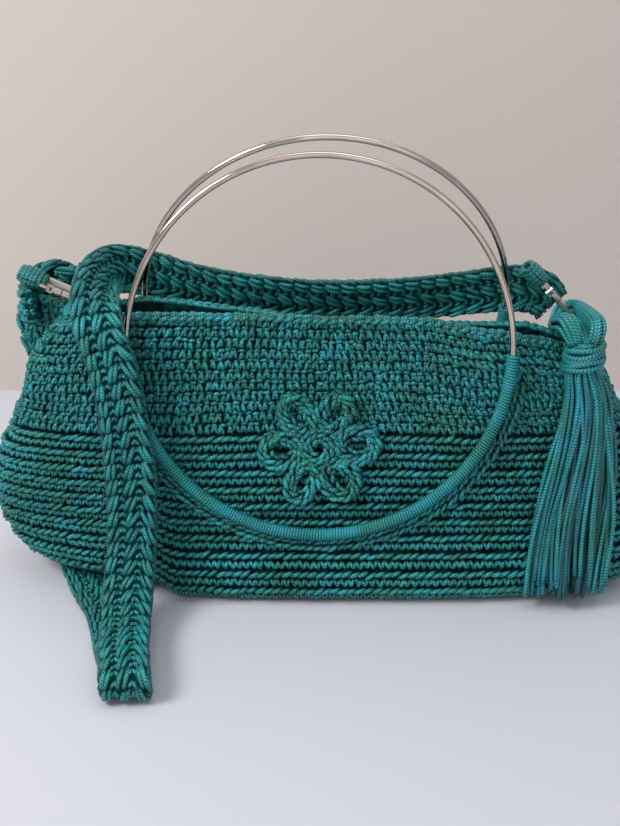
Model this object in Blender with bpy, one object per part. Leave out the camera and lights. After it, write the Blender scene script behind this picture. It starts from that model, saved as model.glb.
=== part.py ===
"""Crocheted handbag: a soft hollow body, two steel ring handles bound to its panels, a long band strap
with two spring clasps, a six-petal flower and a tassel. Metres, +Z up, the front panel faces -Y."""

import math
from collections import namedtuple

import bmesh
import bpy
from mathutils import Matrix, Vector

MM = 0.001

# The soft body
BAG_LENGTH = 0.376
BAG_DEPTH = 0.106
BAG_HEIGHT = 0.157
BODY_WALL = 0.0045
RIB_TOP = 0.097
RIB_PITCH = 0.0093
RIB_HEIGHT = 0.0018
FLOOR_EDGE = 0.0035
PANEL_DENT = 0.0055
MOUTH_BOW = 0.010
STRAP_LIFT = 0.0088
LIFT_START = 0.078
LIFT_RUN = 0.016

# The ring handles, and the cord bound over their lower halves
RING_RADIUS = 0.100
RING_WIRE = 0.0040
WRAP_DIAMETER = 0.0068
FRONT_RING_HEIGHT = 0.1405
FRONT_RING_SET_IN = 0.017
FRONT_RING_LEAN = math.radians(6.2)
BACK_RING_HEIGHT = 0.1525
BACK_RING_SET_IN = 0.0412
BACK_RING_LEAN = math.radians(-18.0)
BACK_RING_SHIFT = 0.00375

# The shoulder strap
STRAP_WIDTH = 0.028
STRAP_THICKNESS = 0.0070
EYE_CORD = 0.0013
EYE_CORD_SPREAD = 0.0030
EYE_CORD_REACH = {"left": 0.0125, "right": 0.0175}

# The spring clasps: u runs from the eye to the hook, v across towards the gate. A hook's tip is placed
# along and up in shares of half the length and of the height.
EYE_BAR = 0.0102
EYE_HALF_WIDTH = 0.0054
EYE_WIRE = 0.0026
HOOK_REACH = 0.0185
HOOK_HALF_WIDTH = 0.0062
HOOK_WIRE_WIDE = 0.0040
HOOK_WIRE_DEEP = 0.0030
NOSE_END = 0.0118
GATE_PIVOT = 0.0040
GATE_TIP = 0.0113
GATE_CHEEK = 0.0010
LUG_THICKNESS = 0.0015
PIN_RADIUS = 0.0007
CLASP_Y = {"left": -0.001, "right": 0.003}
CLASP_ALONG = {"left": -0.65957, "right": 0.74096}
CLASP_UP = {"left": 1.01529, "right": 0.95223}
CLASP_SLOPE = {"left": math.radians(24.0), "right": math.radians(46.0)}

# The cord loops, flower and tassel
LEFT_LOOP_RADIUS = 0.0017
RIGHT_LOOP_RADIUS = 0.0017
LEFT_LOOP_FEET = (-0.6968, -0.6383)
RIGHT_LOOP_FEET = (0.6755, 0.7207)
PETAL_COUNT = 6
PETAL_REACH = 0.0205
PETAL_HALF_LENGTH = 0.0105
PETAL_HALF_WIDTH = 0.0086
PETAL_CORD = 0.0026
PETAL_STEP = 0.0003
FLOWER_TURN = math.radians(4.0)
FLOWER_EYE_RADIUS = 0.0115
FLOWER_HEIGHT = 0.0885
TASSEL_NECK_RADIUS = 0.0080
TASSEL_LOCKS = 9
LOCK_DEPTH = 0.16
BINDING_HEIGHT = 0.013
BINDING_WALL = 0.0026

# Clearances
SEAT_GAP = 0.0003
PANEL_GAP = 0.0007
PIN_GAP = 0.0002

# Facet counts
AROUND_BODY = 42
RING_STEPS = 48
RING_SIDES = 8
PLAN_STEPS = 360

HALF_LENGTH = BAG_LENGTH / 2
HALF_DEPTH = BAG_DEPTH / 2
WRAP_RADIUS = WRAP_DIAMETER / 2

# Plan outline of the body at each height. up is a share of BAG_HEIGHT, left and right shares of half
# the length, square the roundness of each end (2 is an ellipse, more is squarer).
Section = namedtuple("Section", "up left right left_square right_square")
SECTIONS = (
    Section(0.00, 0.86, 0.90, 2.3, 3.6),
    Section(0.03, 0.90, 0.94, 2.3, 3.8),
    Section(0.09, 0.95, 0.98, 2.4, 4.2),
    Section(0.20, 0.99, 1.00, 2.6, 4.4),
    Section(0.33, 0.99, 1.00, 2.8, 4.2),
    Section(0.48, 0.96, 0.98, 3.2, 4.0),
    Section(0.62, 0.90, 0.92, 3.6, 4.0),
    Section(0.74, 0.86, 0.865, 3.6, 3.8),
    Section(0.86, 0.835, 0.835, 3.6, 3.6),
    Section(0.95, 0.785, 0.775, 3.5, 3.5),
    Section(1.00, 0.740, 0.735, 3.5, 3.5),
)

# Height of the mouth's edge on each side, as a share of BAG_HEIGHT, along the length, a share of
# half of it.
Lip = namedtuple("Lip", "along front back")
LIPS = (
    Lip(-1.00, 0.930, 0.930),
    Lip(-0.74, 0.970, 0.970),
    Lip(-0.62, 0.995, 0.995),
    Lip(-0.50, 1.015, 1.015),
    Lip(-0.20, 1.003, 0.985),
    Lip(0.05, 0.992, 0.945),
    Lip(0.30, 0.990, 0.930),
    Lip(0.47, 0.955, 0.925),
    Lip(0.60, 0.930, 0.925),
    Lip(0.735, 0.885, 0.885),
    Lip(1.00, 0.840, 0.840),
)

# The strap's route from the right clasp to the left one, in shares of half the length, half the depth
# and the height. lie is 1 where it lies flat on the surface below, so that its height there is half
# its thickness. wide is a share of the band's width, and the last three the direction across it.
Stop = namedtuple("Stop", "along across up lie wide wx wy wz")
ROUTE = (
    Stop(0.700, 0.350, 0.965, 0, 0.75, 0.45, 0.0, 0.90),
    Stop(0.645, 0.370, 1.018, 0, 1.0, 0.25, -0.02, 0.97),
    Stop(0.550, 0.425, 1.018, 0, 1.0, 0.10, -0.04, 0.99),
    Stop(0.420, 0.410, 1.000, 0, 1.0, 0.0, -0.20, 0.97),
    Stop(0.240, 0.370, 0.990, 0, 1.0, 0.0, -0.38, 0.92),
    Stop(0.050, 0.377, 0.985, 0, 1.0, 0.0, -0.47, 0.88),
    Stop(-0.150, 0.377, 0.995, 0, 1.0, 0.0, -0.36, 0.93),
    Stop(-0.330, 0.377, 1.022, 0, 1.0, 0.0, -0.20, 0.97),
    Stop(-0.470, 0.400, 1.065, 0, 1.0, 0.0, -0.12, 0.99),
    Stop(-0.570, 0.270, 1.105, 0, 1.0, -0.15, -0.12, 0.97),
    Stop(-0.606, 0.000, 1.115, 0, 1.0, -0.40, -0.12, 0.90),
    Stop(-0.612, -0.380, 1.105, 0, 1.0, -0.65, -0.10, 0.74),
    Stop(-0.606, -0.690, 1.065, 0, 0.96, -0.90, -0.08, 0.42),
    Stop(-0.586, -0.860, 0.985, 0, 0.94, -0.99, 0.0, 0.12),
    Stop(-0.558, -0.915, 0.880, 0, 0.94, -1.0, 0.0, 0.02),
    Stop(-0.540, -0.950, 0.750, 0, 0.95, -1.0, 0.0, 0.0),
    Stop(-0.527, -0.990, 0.580, 0, 1.0, -1.0, 0.0, 0.0),
    Stop(-0.525, -1.060, 0.400, 0, 1.0, -1.0, 0.0, 0.0),
    Stop(-0.530, -1.140, 0.260, 0, 1.0, -1.0, 0.0, 0.0),
    Stop(-0.537, -1.300, 0.155, 0, 1.0, -1.0, 0.0, 0.0),
    Stop(-0.528, -1.700, 0.098, 0, 0.94, -1.0, 0.0, 0.0),
    Stop(-0.510, -2.200, 0.099, 0, 0.92, -1.0, 0.02, 0.0),
    Stop(-0.495, -2.500, 0.0955, 0, 0.92, -1.0, 0.0, 0.0),
    Stop(-0.492, -2.577, 0.0840, 0, 0.92, -1.0, 0.0, 0.0),
    Stop(-0.491, -2.610, 0.0600, 0, 0.92, -1.0, 0.0, 0.0),
    Stop(-0.492, -2.577, 0.0350, 0, 0.92, -1.0, 0.0, 0.0),
    Stop(-0.495, -2.500, 0.0010, 1, 0.92, -1.0, 0.0, 0.0),
    Stop(-0.512, -2.200, 0.0, 1, 0.94, -0.99, -0.10, 0.0),
    Stop(-0.545, -1.800, 0.0, 1, 1.0, -0.96, -0.25, 0.0),
    Stop(-0.595, -1.250, 0.0, 1, 1.0, -0.92, -0.38, 0.0),
    Stop(-0.675, -0.700, 0.0, 1, 1.0, -0.88, -0.46, 0.0),
    Stop(-0.752, -0.050, 0.0, 1, 1.0, -0.94, -0.34, 0.0),
    Stop(-0.785, 0.550, 0.0, 1, 1.0, -0.98, -0.18, 0.0),
    Stop(-0.795, 1.030, 0.0, 1, 1.0, -1.0, 0.0, 0.0),
    Stop(-0.795, 1.240, 0.075, 0, 1.0, -1.0, 0.0, 0.0),
    Stop(-0.785, 1.210, 0.220, 0, 1.0, -1.0, 0.0, 0.0),
    Stop(-0.760, 1.020, 0.440, 0, 1.0, -1.0, 0.0, 0.0),
    Stop(-0.725, 0.760, 0.660, 0, 1.0, -1.0, 0.0, 0.05),
    Stop(-0.695, 0.550, 0.845, 0, 0.90, -1.0, 0.0, -0.05),
    Stop(-0.693, 0.400, 0.950, 0, 0.80, -0.98, 0.0, -0.20),
    Stop(-0.714, 0.300, 1.030, 0, 0.76, -0.75, 0.0, -0.66),
    Stop(-0.756, 0.270, 1.066, 0, 0.76, -0.20, 0.0, -0.98),
    Stop(-0.800, 0.250, 1.058, 0, 0.82, 0.05, 0.0, -1.0),
    Stop(-0.835, 0.160, 1.022, 0, 0.79, 0.0, 0.0, -1.0),
    Stop(-0.845, -0.010, 1.008, 0, 0.71, 0.0, 0.0, -1.0),
    Stop(-0.826, -0.175, 1.012, 0, 0.65, 0.0, 0.0, -1.0),
    Stop(-0.788, -0.240, 1.022, 0, 0.57, 0.0, 0.0, -1.0),
)

# The band's cross-section with its raised edges and middle, in shares of half the width and half the
# thickness.
Across = namedtuple("Across", "side deep")
BAND_EDGE = (
    Across(-1.00, 0.10),
    Across(-0.86, 0.92),
    Across(-0.45, 0.55),
    Across(0.00, 1.00),
    Across(0.45, 0.55),
    Across(0.86, 0.92),
    Across(1.00, 0.10),
)

# Skirt of the tassel, from its neck down. side and deep are half widths as shares of the neck's
# radius, along and up shares of half the bag's length and of its height.
Hang = namedtuple("Hang", "along up side deep")
HANGS = (
    Hang(0.725, 0.845, 1.15, 0.85),
    Hang(0.742, 0.760, 1.55, 0.90),
    Hang(0.745, 0.640, 1.95, 0.90),
    Hang(0.740, 0.500, 2.35, 0.85),
    Hang(0.730, 0.350, 2.70, 0.82),
    Hang(0.722, 0.200, 2.90, 0.82),
    Hang(0.716, 0.055, 2.95, 0.80),
)


def smooth(t):
    """Smooth step from 0 to 1."""
    t = min(1.0, max(0.0, t))
    return t * t * (3 - 2 * t)


def lerp(a, b, t):
    return a + (b - a) * t


def read_table(rows, key, at):
    """The row of a named table at a value of its first column, blended between its neighbours."""
    names = rows[0]._fields
    if at <= getattr(rows[0], key):
        return rows[0]
    for low, high in zip(rows, rows[1:]):
        a, b = getattr(low, key), getattr(high, key)
        if at <= b:
            t = smooth((at - a) / (b - a)) * 0.5 + (at - a) / (b - a) * 0.5
            return type(low)(*(lerp(getattr(low, n), getattr(high, n), t) for n in names))
    return rows[-1]


def ring_centre(side):
    """Centre of the front or back ring handle."""
    if side == "front":
        return Vector((0, -HALF_DEPTH + FRONT_RING_SET_IN, FRONT_RING_HEIGHT))
    return Vector((BACK_RING_SHIFT, HALF_DEPTH - BACK_RING_SET_IN, BACK_RING_HEIGHT))


def ring_lean(side):
    return FRONT_RING_LEAN if side == "front" else BACK_RING_LEAN


def ring_plane_y(side, z):
    """Y of the ring's own plane at a height."""
    centre = ring_centre(side)
    return centre.y + (z - centre.z) * math.tan(ring_lean(side))


def panel_line(side, z):
    """Y of a panel's crest at mid length: seated behind its ring, and bulging below it to the base."""
    out = 1 if side == "back" else -1
    seated = ring_plane_y(side, z) - out * (WRAP_RADIUS + PANEL_GAP)
    centre = ring_centre(side)
    low = centre.z - RING_RADIUS * math.cos(ring_lean(side)) - WRAP_RADIUS
    belly = out * HALF_DEPTH
    share = smooth((low - z) / (low * 0.8))
    rounded = math.sqrt(max(0.0, 1 - (1 - min(1.0, z / (0.10 * BAG_HEIGHT))) ** 2))
    return lerp(seated, belly, share) * lerp(0.88, 1.0, rounded)


def lip_height(side, x):
    """Height of the mouth's edge above the base at a place along one side."""
    return BAG_HEIGHT * getattr(read_table(LIPS, "along", x / HALF_LENGTH), side)


def base_lift(x):
    """How far the base is held up at its left end by the strap that lies under it."""
    return STRAP_LIFT * smooth((-x - LIFT_START) / LIFT_RUN)


def settled(side, x, z):
    """A height of the even body, moved to the sagging mouth above and the lifted end below."""
    if z > RIB_TOP:
        z = RIB_TOP + (z - RIB_TOP) * (lip_height(side, x) - RIB_TOP) / (BAG_HEIGHT - RIB_TOP)
    return z + base_lift(x) * (1 - smooth(z / RIB_TOP))


def half_plan(z, inset=0.0):
    """Reach to the left and right, front and back Y, and the two squarenesses at a height."""
    row = read_table(SECTIONS, "up", z / BAG_HEIGHT)
    left = HALF_LENGTH * row.left - inset
    right = HALF_LENGTH * row.right - inset
    front = panel_line("front", z) + inset
    back = panel_line("back", z) - inset
    return left, right, front, back, row.left_square, row.right_square


def dent(x, z):
    """How far the front panel sinks inside its ring."""
    centre = ring_centre("front")
    r = math.hypot(x - centre.x, (z - centre.z) / math.cos(FRONT_RING_LEAN))
    return PANEL_DENT * smooth(1.6 * (1 - r / (RING_RADIUS - WRAP_DIAMETER)))


def bow(x, z):
    """How far the back panel leans in to the front one at the middle of the mouth."""
    near = math.cos(min(1.0, abs(x) / (0.6 * HALF_LENGTH)) * math.pi / 2) ** 2
    return MOUTH_BOW * near * smooth((z - RIB_TOP) / (BAG_HEIGHT - RIB_TOP))


def wall_y(side, x, z, inset=0.0):
    """Y of the front or back wall at a place, without its ribs."""
    left, right, front, back, square_l, square_r = half_plan(z, inset)
    reach, square = (left, square_l) if x < 0 else (right, square_r)
    middle, half = (front + back) / 2, (back - front) / 2
    share = (1 - min(1.0, abs(x) / reach) ** square) ** (1 / square)
    if side == "front":
        return middle - half * share + dent(x, z)
    return middle + half * share - bow(x, z)


def plan_loop(z, inset=0.0, rib=0.0, count=AROUND_BODY):
    """One closed outline of the body at a height, evenly spaced along itself."""
    left, right, front, back, square_l, square_r = half_plan(z, inset)
    middle, half = (front + back) / 2, (back - front) / 2
    dense = []
    for i in range(PLAN_STEPS):
        a = 2 * math.pi * i / PLAN_STEPS
        c, s = math.cos(a), math.sin(a)
        square = square_l if c < 0 else square_r
        reach = (left if c < 0 else right) + rib
        x = math.copysign(abs(c) ** (2 / square), c) * reach
        y = middle + math.copysign(abs(s) ** (2 / square), s) * (half + rib)
        y += dent(x, z) if s < 0 else -bow(x, z)
        dense.append(Vector((x, y)))
    lengths = [0.0]
    for a, b in zip(dense, dense[1:] + dense[:1]):
        lengths.append(lengths[-1] + (b - a).length)
    points, j = [], 0
    for i in range(count):
        want = lengths[-1] * i / count
        while lengths[j + 1] < want:
            j += 1
        t = (want - lengths[j]) / (lengths[j + 1] - lengths[j])
        p = dense[j].lerp(dense[(j + 1) % PLAN_STEPS], t)
        side = "back" if j < PLAN_STEPS / 2 else "front"
        points.append(Vector((p.x, p.y, settled(side, p.x, z))))
    return points


def new_object(name, bm, material):
    """Turns a bmesh into a named object with its material."""
    bm.normal_update()
    bmesh.ops.recalc_face_normals(bm, faces=bm.faces)
    mesh = bpy.data.meshes.new(name)
    bm.to_mesh(mesh)
    bm.free()
    mesh.shade_smooth()
    mesh.set_sharp_from_angle(angle=math.radians(40))
    mesh.materials.append(material)
    obj = bpy.data.objects.new(name, mesh)
    bpy.context.scene.collection.objects.link(obj)
    return obj


def new_material(name, colour, roughness, metallic=0.0):
    material = bpy.data.materials.new(name)
    material.use_nodes = True
    shader = material.node_tree.nodes["Principled BSDF"]
    shader.inputs["Base Color"].default_value = (*colour, 1.0)
    shader.inputs["Roughness"].default_value = roughness
    shader.inputs["Metallic"].default_value = metallic
    return material


def add_ring(bm, points):
    return [bm.verts.new(p) for p in points]


def skin(bm, rings, closed=False):
    """Joins each ring of vertices to the next with four-sided faces."""
    pairs = list(zip(rings, rings[1:]))
    if closed:
        pairs.append((rings[-1], rings[0]))
    for a, b in pairs:
        for i in range(len(a)):
            j = (i + 1) % len(a)
            bm.faces.new((a[i], a[j], b[j], b[i]))


def cap(bm, ring):
    """Closes a ring with one face, cut into triangles."""
    face = bm.faces.new(ring)
    bmesh.ops.triangulate(bm, faces=[face])


def curve_through(points, steps):
    """A smooth curve through points, with a number of steps from each to the next."""
    out = []
    last = len(points) - 1
    for i in range(last):
        p0, p1 = points[max(i - 1, 0)], points[i]
        p2, p3 = points[i + 1], points[min(i + 2, last)]
        for k in range(steps):
            t = k / steps
            out.append(
                0.5 * (2 * p1 + (p2 - p0) * t + (2 * p0 - 5 * p1 + 4 * p2 - p3) * t * t)
                + 0.5 * (3 * p1 - p0 - 3 * p2 + p3) * t ** 3
            )
    out.append(points[last].copy())
    return out


def tube(bm, path, radii, sides=8, across=None, closed=False):
    """A round or oval tube along a path. radii holds a pair for each point: along across, and square to it."""
    rings = []
    n = len(path)
    side = None
    for i, p in enumerate(path):
        if closed:
            tangent = (path[(i + 1) % n] - path[i - 1]).normalized()
        else:
            tangent = (path[min(i + 1, n - 1)] - path[max(i - 1, 0)]).normalized()
        guess = across if across is not None else side
        if guess is None:
            guess = Vector((0, 0, 1)) if abs(tangent.z) < 0.9 else Vector((1, 0, 0))
        side = (guess - tangent * guess.dot(tangent)).normalized()
        other = tangent.cross(side)
        a, b = radii[i]
        ring = []
        for k in range(sides):
            turn = 2 * math.pi * (k + 0.5) / sides
            ring.append(p + side * (a * math.cos(turn)) + other * (b * math.sin(turn)))
        rings.append(add_ring(bm, ring))
    skin(bm, rings, closed)
    if not closed:
        cap(bm, rings[0])
        cap(bm, rings[-1])


def make_body(material):
    """The hollow body: ribbed below, plain above, open at the mouth."""
    bm = bmesh.new()
    outside = []
    z = FLOOR_EDGE
    rib_rows = []
    first = 0.9 * RIB_PITCH
    while z < first:
        rib_rows.append((z, 0.0))
        z = first
    crest = first
    while crest + 0.5 * RIB_PITCH < RIB_TOP + 0.25 * RIB_PITCH:
        rib_rows.append((crest, 0.0))
        rib_rows.append((crest + 0.42 * RIB_PITCH, -RIB_HEIGHT))
        crest += RIB_PITCH
    plain_from = rib_rows[-1][0] + 0.5 * RIB_PITCH
    plain_rows = 5
    rows = [(0.0, 0.0)] + rib_rows
    for i in range(plain_rows + 1):
        rows.append((lerp(plain_from, BAG_HEIGHT, i / plain_rows), 0.0))
    for height, rib in rows:
        outside.append(add_ring(bm, plan_loop(height, rib=rib)))
    inside = []
    lip_top = BAG_HEIGHT + 0.35 * BODY_WALL
    inside.append(add_ring(bm, plan_loop(lip_top, inset=0.5 * BODY_WALL)))
    inner_heights = (1.0, 0.86, 0.72, 0.58, 0.42, 0.26, 0.12, 0.05)
    for share in inner_heights:
        height = lerp(BODY_WALL, BAG_HEIGHT, share)
        inside.append(add_ring(bm, plan_loop(height, inset=BODY_WALL + RIB_HEIGHT)))
    skin(bm, outside + inside)
    for ring, level in ((outside[0], 0.0), (inside[-1], BODY_WALL)):
        ends = ring
        for share in (0.82, 0.64, 0.42, 0.15):
            shrunk = []
            for v in ring:
                x, y = v.co.x * share, v.co.y * share
                shrunk.append(Vector((x, y, level + base_lift(x))))
            inner = add_ring(bm, shrunk)
            skin(bm, [ends, inner])
            ends = inner
        cap(bm, ends)
    return new_object("bag_body", bm, material)


def ring_frame(side):
    """Turns the ring's own plane (x across, z up) into place."""
    turn = Matrix.Rotation(-ring_lean(side), 4, "X")
    return Matrix.Translation(ring_centre(side)) @ turn


def make_ring(side, material):
    """One steel ring handle, a whole ring of round wire."""
    bm = bmesh.new()
    place = ring_frame(side)
    path = []
    for i in range(RING_STEPS):
        a = 2 * math.pi * i / RING_STEPS
        path.append(place @ Vector((RING_RADIUS * math.cos(a), 0, RING_RADIUS * math.sin(a))))
    across = place.to_3x3() @ Vector((0, 1, 0))
    radius = RING_WIRE / 2
    tube(bm, path, [(radius, radius)] * RING_STEPS, RING_SIDES, across, closed=True)
    return new_object(f"{side}_ring", bm, material)


def make_wrap(side, material):
    """The cord binding over the ring's lower half: a tube with the wire running through it."""
    bm = bmesh.new()
    place = ring_frame(side)
    bore = RING_WIRE / 2 + SEAT_GAP
    outer, inner = [], []
    steps = RING_STEPS // 2
    for i in range(steps + 1):
        a = -math.pi * i / steps
        out = Vector((math.cos(a), 0, math.sin(a)))
        rings = []
        for radius in (bore, WRAP_RADIUS):
            ring = []
            for k in range(RING_SIDES):
                turn = 2 * math.pi * (k + 0.5) / RING_SIDES
                offset = out * (radius * math.sin(turn)) + Vector((0, radius * math.cos(turn), 0))
                ring.append(place @ (out * RING_RADIUS + offset))
            rings.append(add_ring(bm, ring))
        inner.append(rings[0])
        outer.append(rings[1])
    skin(bm, outer)
    skin(bm, inner)
    skin(bm, [outer[0], inner[0]])
    skin(bm, [outer[-1], inner[-1]])
    return new_object(f"{side}_ring_wrap", bm, material)


def clasp_frame(side):
    """The clasp's own frame: u to the hook's tip, v to the camera side, w square to both."""
    slope = CLASP_SLOPE[side]
    u = Vector((math.cos(slope), 0, -math.sin(slope)))
    v = Vector((0, -1, 0))
    w = u.cross(v)
    tip_x = CLASP_ALONG[side] * HALF_LENGTH
    tip_z = CLASP_UP[side] * BAG_HEIGHT
    tip = HOOK_REACH + HOOK_HALF_WIDTH + HOOK_WIRE_DEEP / 2
    origin = Vector((tip_x, CLASP_Y[side], tip_z)) - u * tip
    turn = Matrix((u, v, w)).transposed().to_4x4()
    return Matrix.Translation(origin) @ turn


def at_clasp(side, u, v, rise):
    """A point by its clasp: along, across, and up from the clasp's plane."""
    return clasp_frame(side) @ Vector((u, v, -rise))


def hidden(obj):
    """Marks an object as a tool for a Boolean, which isn't part of the model."""
    obj.hide_render = True
    obj.display_type = "WIRE"
    return obj


def combine(target, tool, operation):
    modifier = target.modifiers.new(operation.lower(), "BOOLEAN")
    modifier.operation = operation
    modifier.object = hidden(tool)


def box(bm, low, high, place):
    """A box between two corners of a local frame."""
    made = bmesh.ops.create_cube(bm, size=1.0)
    centre = [(a + b) / 2 for a, b in zip(low, high)]
    size = [b - a for a, b in zip(low, high)]
    for vert in made["verts"]:
        vert.co = place @ Vector(c + s * p for c, s, p in zip(centre, size, vert.co))


def cylinder(bm, centre, radius, length, place, sides=12):
    """A cylinder along w of a local frame."""
    made = bmesh.ops.create_cone(
        bm, cap_ends=True, segments=sides, radius1=radius, radius2=radius, depth=length
    )
    for vert in made["verts"]:
        vert.co = place @ (vert.co + Vector(centre))


def make_clasp(side, steel):
    """The hook, eye and lug in one casting, and the gate with its pin."""
    place = clasp_frame(side)
    deep, wide = HOOK_WIRE_DEEP / 2, HOOK_WIRE_WIDE / 2
    w_axis = place.to_3x3() @ Vector((0, 0, 1))

    bm = bmesh.new()
    spine = [Vector((-0.0005, -HOOK_HALF_WIDTH, 0))]
    for i in range(4):
        spine.append(Vector((lerp(0.003, HOOK_REACH, i / 3), -HOOK_HALF_WIDTH, 0)))
    for i in range(1, 8):
        a = math.pi * i / 7
        spine.append(
            Vector((HOOK_REACH + HOOK_HALF_WIDTH * math.sin(a), -HOOK_HALF_WIDTH * math.cos(a), 0))
        )
    spine.append(Vector((NOSE_END, HOOK_HALF_WIDTH, 0)))
    tube(bm, [place @ p for p in spine], [(wide, deep)] * len(spine), 8, w_axis)
    body = new_object(f"{side}_clasp_body", bm, steel)

    bm = bmesh.new()
    box(bm, (-0.003, -HOOK_HALF_WIDTH - deep, -wide), (0.0012, HOOK_HALF_WIDTH - 0.0012, wide), place)
    combine(body, new_object(f"{side}_clasp_block", bm, steel), "UNION")

    bm = bmesh.new()
    half_lug = LUG_THICKNESS / 2
    lug = (GATE_PIVOT, HOOK_HALF_WIDTH)
    box(bm, (-0.001, 0.002, -half_lug), (lug[0], lug[1] + 0.0012, half_lug), place)
    combine(body, new_object(f"{side}_clasp_lug", bm, steel), "UNION")

    bm = bmesh.new()
    cylinder(bm, (*lug, 0), 0.0016, LUG_THICKNESS * 0.96, place)
    combine(body, new_object(f"{side}_clasp_lug_end", bm, steel), "UNION")

    bm = bmesh.new()
    bar, half, near = -EYE_BAR, EYE_HALF_WIDTH, -0.0020
    round_by = 0.0022
    corners = ((bar, -half), (bar, half), (near, half), (near, -half))
    loop = []
    for i, (cu, cv) in enumerate(corners):
        before, after = corners[i - 1], corners[(i + 1) % 4]
        for far in (before, after):
            du, dv = far[0] - cu, far[1] - cv
            span = math.hypot(du, dv)
            loop.append((cu + du / span * round_by, cv + dv / span * round_by))
        middle_u = cu + sum((f[0] - cu) / math.dist(f, (cu, cv)) for f in (before, after)) * round_by * 0.3
        middle_v = cv + sum((f[1] - cv) / math.dist(f, (cu, cv)) for f in (before, after)) * round_by * 0.3
        loop.insert(-1, (middle_u, middle_v))
    path = [place @ Vector((a, b, 0)) for a, b in loop]
    wire = EYE_WIRE / 2
    tube(bm, path, [(wire, wire)] * len(path), 8, w_axis, closed=True)
    combine(body, new_object(f"{side}_clasp_eye", bm, steel), "UNION")

    bm = bmesh.new()
    cylinder(bm, (*lug, 0), PIN_RADIUS + PIN_GAP, 0.01, place)
    combine(body, new_object(f"{side}_clasp_bore", bm, steel), "DIFFERENCE")

    bm = bmesh.new()
    start = GATE_PIVOT + 0.0021
    bar_path = [Vector((lerp(start, GATE_TIP, i / 3), HOOK_HALF_WIDTH, 0)) for i in range(4)]
    thin = (0.90, 1.0, 1.0, 0.92)
    radii = [(wide * t, deep * 0.9 * t) for t in thin]
    tube(bm, [place @ p for p in bar_path], radii, 8, w_axis)
    gate = new_object(f"{side}_clasp_gate", bm, steel)
    half_lug += SEAT_GAP
    for sign in (-1, 1):
        near_w, far_w = sorted((sign * half_lug, sign * (half_lug + GATE_CHEEK)))
        bm = bmesh.new()
        box(bm, (lug[0], lug[1] - 0.0011, near_w), (start + 0.0008, lug[1] + 0.0011, far_w), place)
        combine(gate, new_object(f"{side}_gate_cheek_{sign}", bm, steel), "UNION")
        bm = bmesh.new()
        cylinder(bm, (*lug, (near_w + far_w) / 2), 0.0013, GATE_CHEEK * 0.98, place)
        combine(gate, new_object(f"{side}_gate_round_{sign}", bm, steel), "UNION")
    bm = bmesh.new()
    cylinder(bm, (*lug, 0), PIN_RADIUS, LUG_THICKNESS + 2 * SEAT_GAP + GATE_CHEEK, place)
    combine(gate, new_object(f"{side}_gate_pin", bm, steel), "UNION")
    return body, gate


def make_corner_loop(side, material):
    """The cord loop that stands on the mouth's corner and passes through the hook."""
    if side == "left":
        x_front, x_back = (share * HALF_LENGTH for share in LEFT_LOOP_FEET)
        front_y = wall_y("front", x_front, BAG_HEIGHT) + BODY_WALL / 2
        back_y = wall_y("back", x_back, BAG_HEIGHT) - BODY_WALL / 2
        radius, hold_v = LEFT_LOOP_RADIUS, 0.0
        swells = (1.2, 1.1, 1.0, 1.0, 1.0, 1.2, 1.0, 1.1)
        ends = ((x_front, front_y), (x_back, back_y))
        route = [
            at_clasp(side, 0.0176, 0.0080, -0.0066),
            at_clasp(side, 0.0178, 0.0006, -0.0046),
            at_clasp(side, 0.0182, hold_v, 0.0),
            at_clasp(side, 0.0196, hold_v, 0.0046),
            at_clasp(side, 0.0245, -0.0010, 0.0074),
            at_clasp(side, 0.0298, -0.0020, 0.0040),
        ]
    else:
        x_front, x_back = (share * HALF_LENGTH for share in RIGHT_LOOP_FEET)
        front_y = wall_y("back", x_front, BAG_HEIGHT) - BODY_WALL * 0.3
        back_y = wall_y("back", x_back, BAG_HEIGHT) - BODY_WALL * 0.6
        radius, hold_v = RIGHT_LOOP_RADIUS, -0.0026
        swells = (1.2, 1.0, 1.0, 1.0, 1.2, 1.2, 1.2)
        ends = ((x_front, front_y), (x_back, back_y))
        route = [
            at_clasp(side, 0.0178, hold_v, -0.0040),
            at_clasp(side, 0.0188, hold_v, 0.0),
            at_clasp(side, 0.0200, hold_v, 0.0040),
            at_clasp(side, 0.0250, hold_v, 0.0072),
            at_clasp(side, 0.0310, hold_v, 0.0040),
        ]
    feet = []
    for x, y in ends:
        foot = lip_height("front", x) + 0.35 * BODY_WALL + 1.4 * radius
        feet.append(Vector((x, y, foot)))
    points = [feet[0], *route, feet[1]]
    bm = bmesh.new()
    path = curve_through(points, 2)
    thick = curve_through([Vector((radius * swell, 0, 0)) for swell in swells], 2)
    tube(bm, path, [(t.x, t.x) for t in thick], 8)
    return new_object(f"{side}_corner_loop", bm, material)


def make_eye_cord(side, material):
    """The cord of the strap's end that runs through a clasp's eye and round the side of it."""
    middle = -(EYE_BAR + 0.0020) / 2
    spread = EYE_CORD_SPREAD
    reach = EYE_CORD_REACH[side]
    half = ((0.0060, 1.0), (0.0030, 0.77), (0.0016, 0.0))
    bend = ((reach, 1.8), *half, *((v, -w) for v, w in half[1::-1]), (reach, 0.2))
    points = [clasp_frame(side) @ Vector((middle, -v, w * spread)) for v, w in bend]
    path = curve_through(points, 2)
    bm = bmesh.new()
    tube(bm, path, [(EYE_CORD, EYE_CORD)] * len(path), 6)
    return new_object(f"{side}_eye_cord", bm, material)


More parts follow.
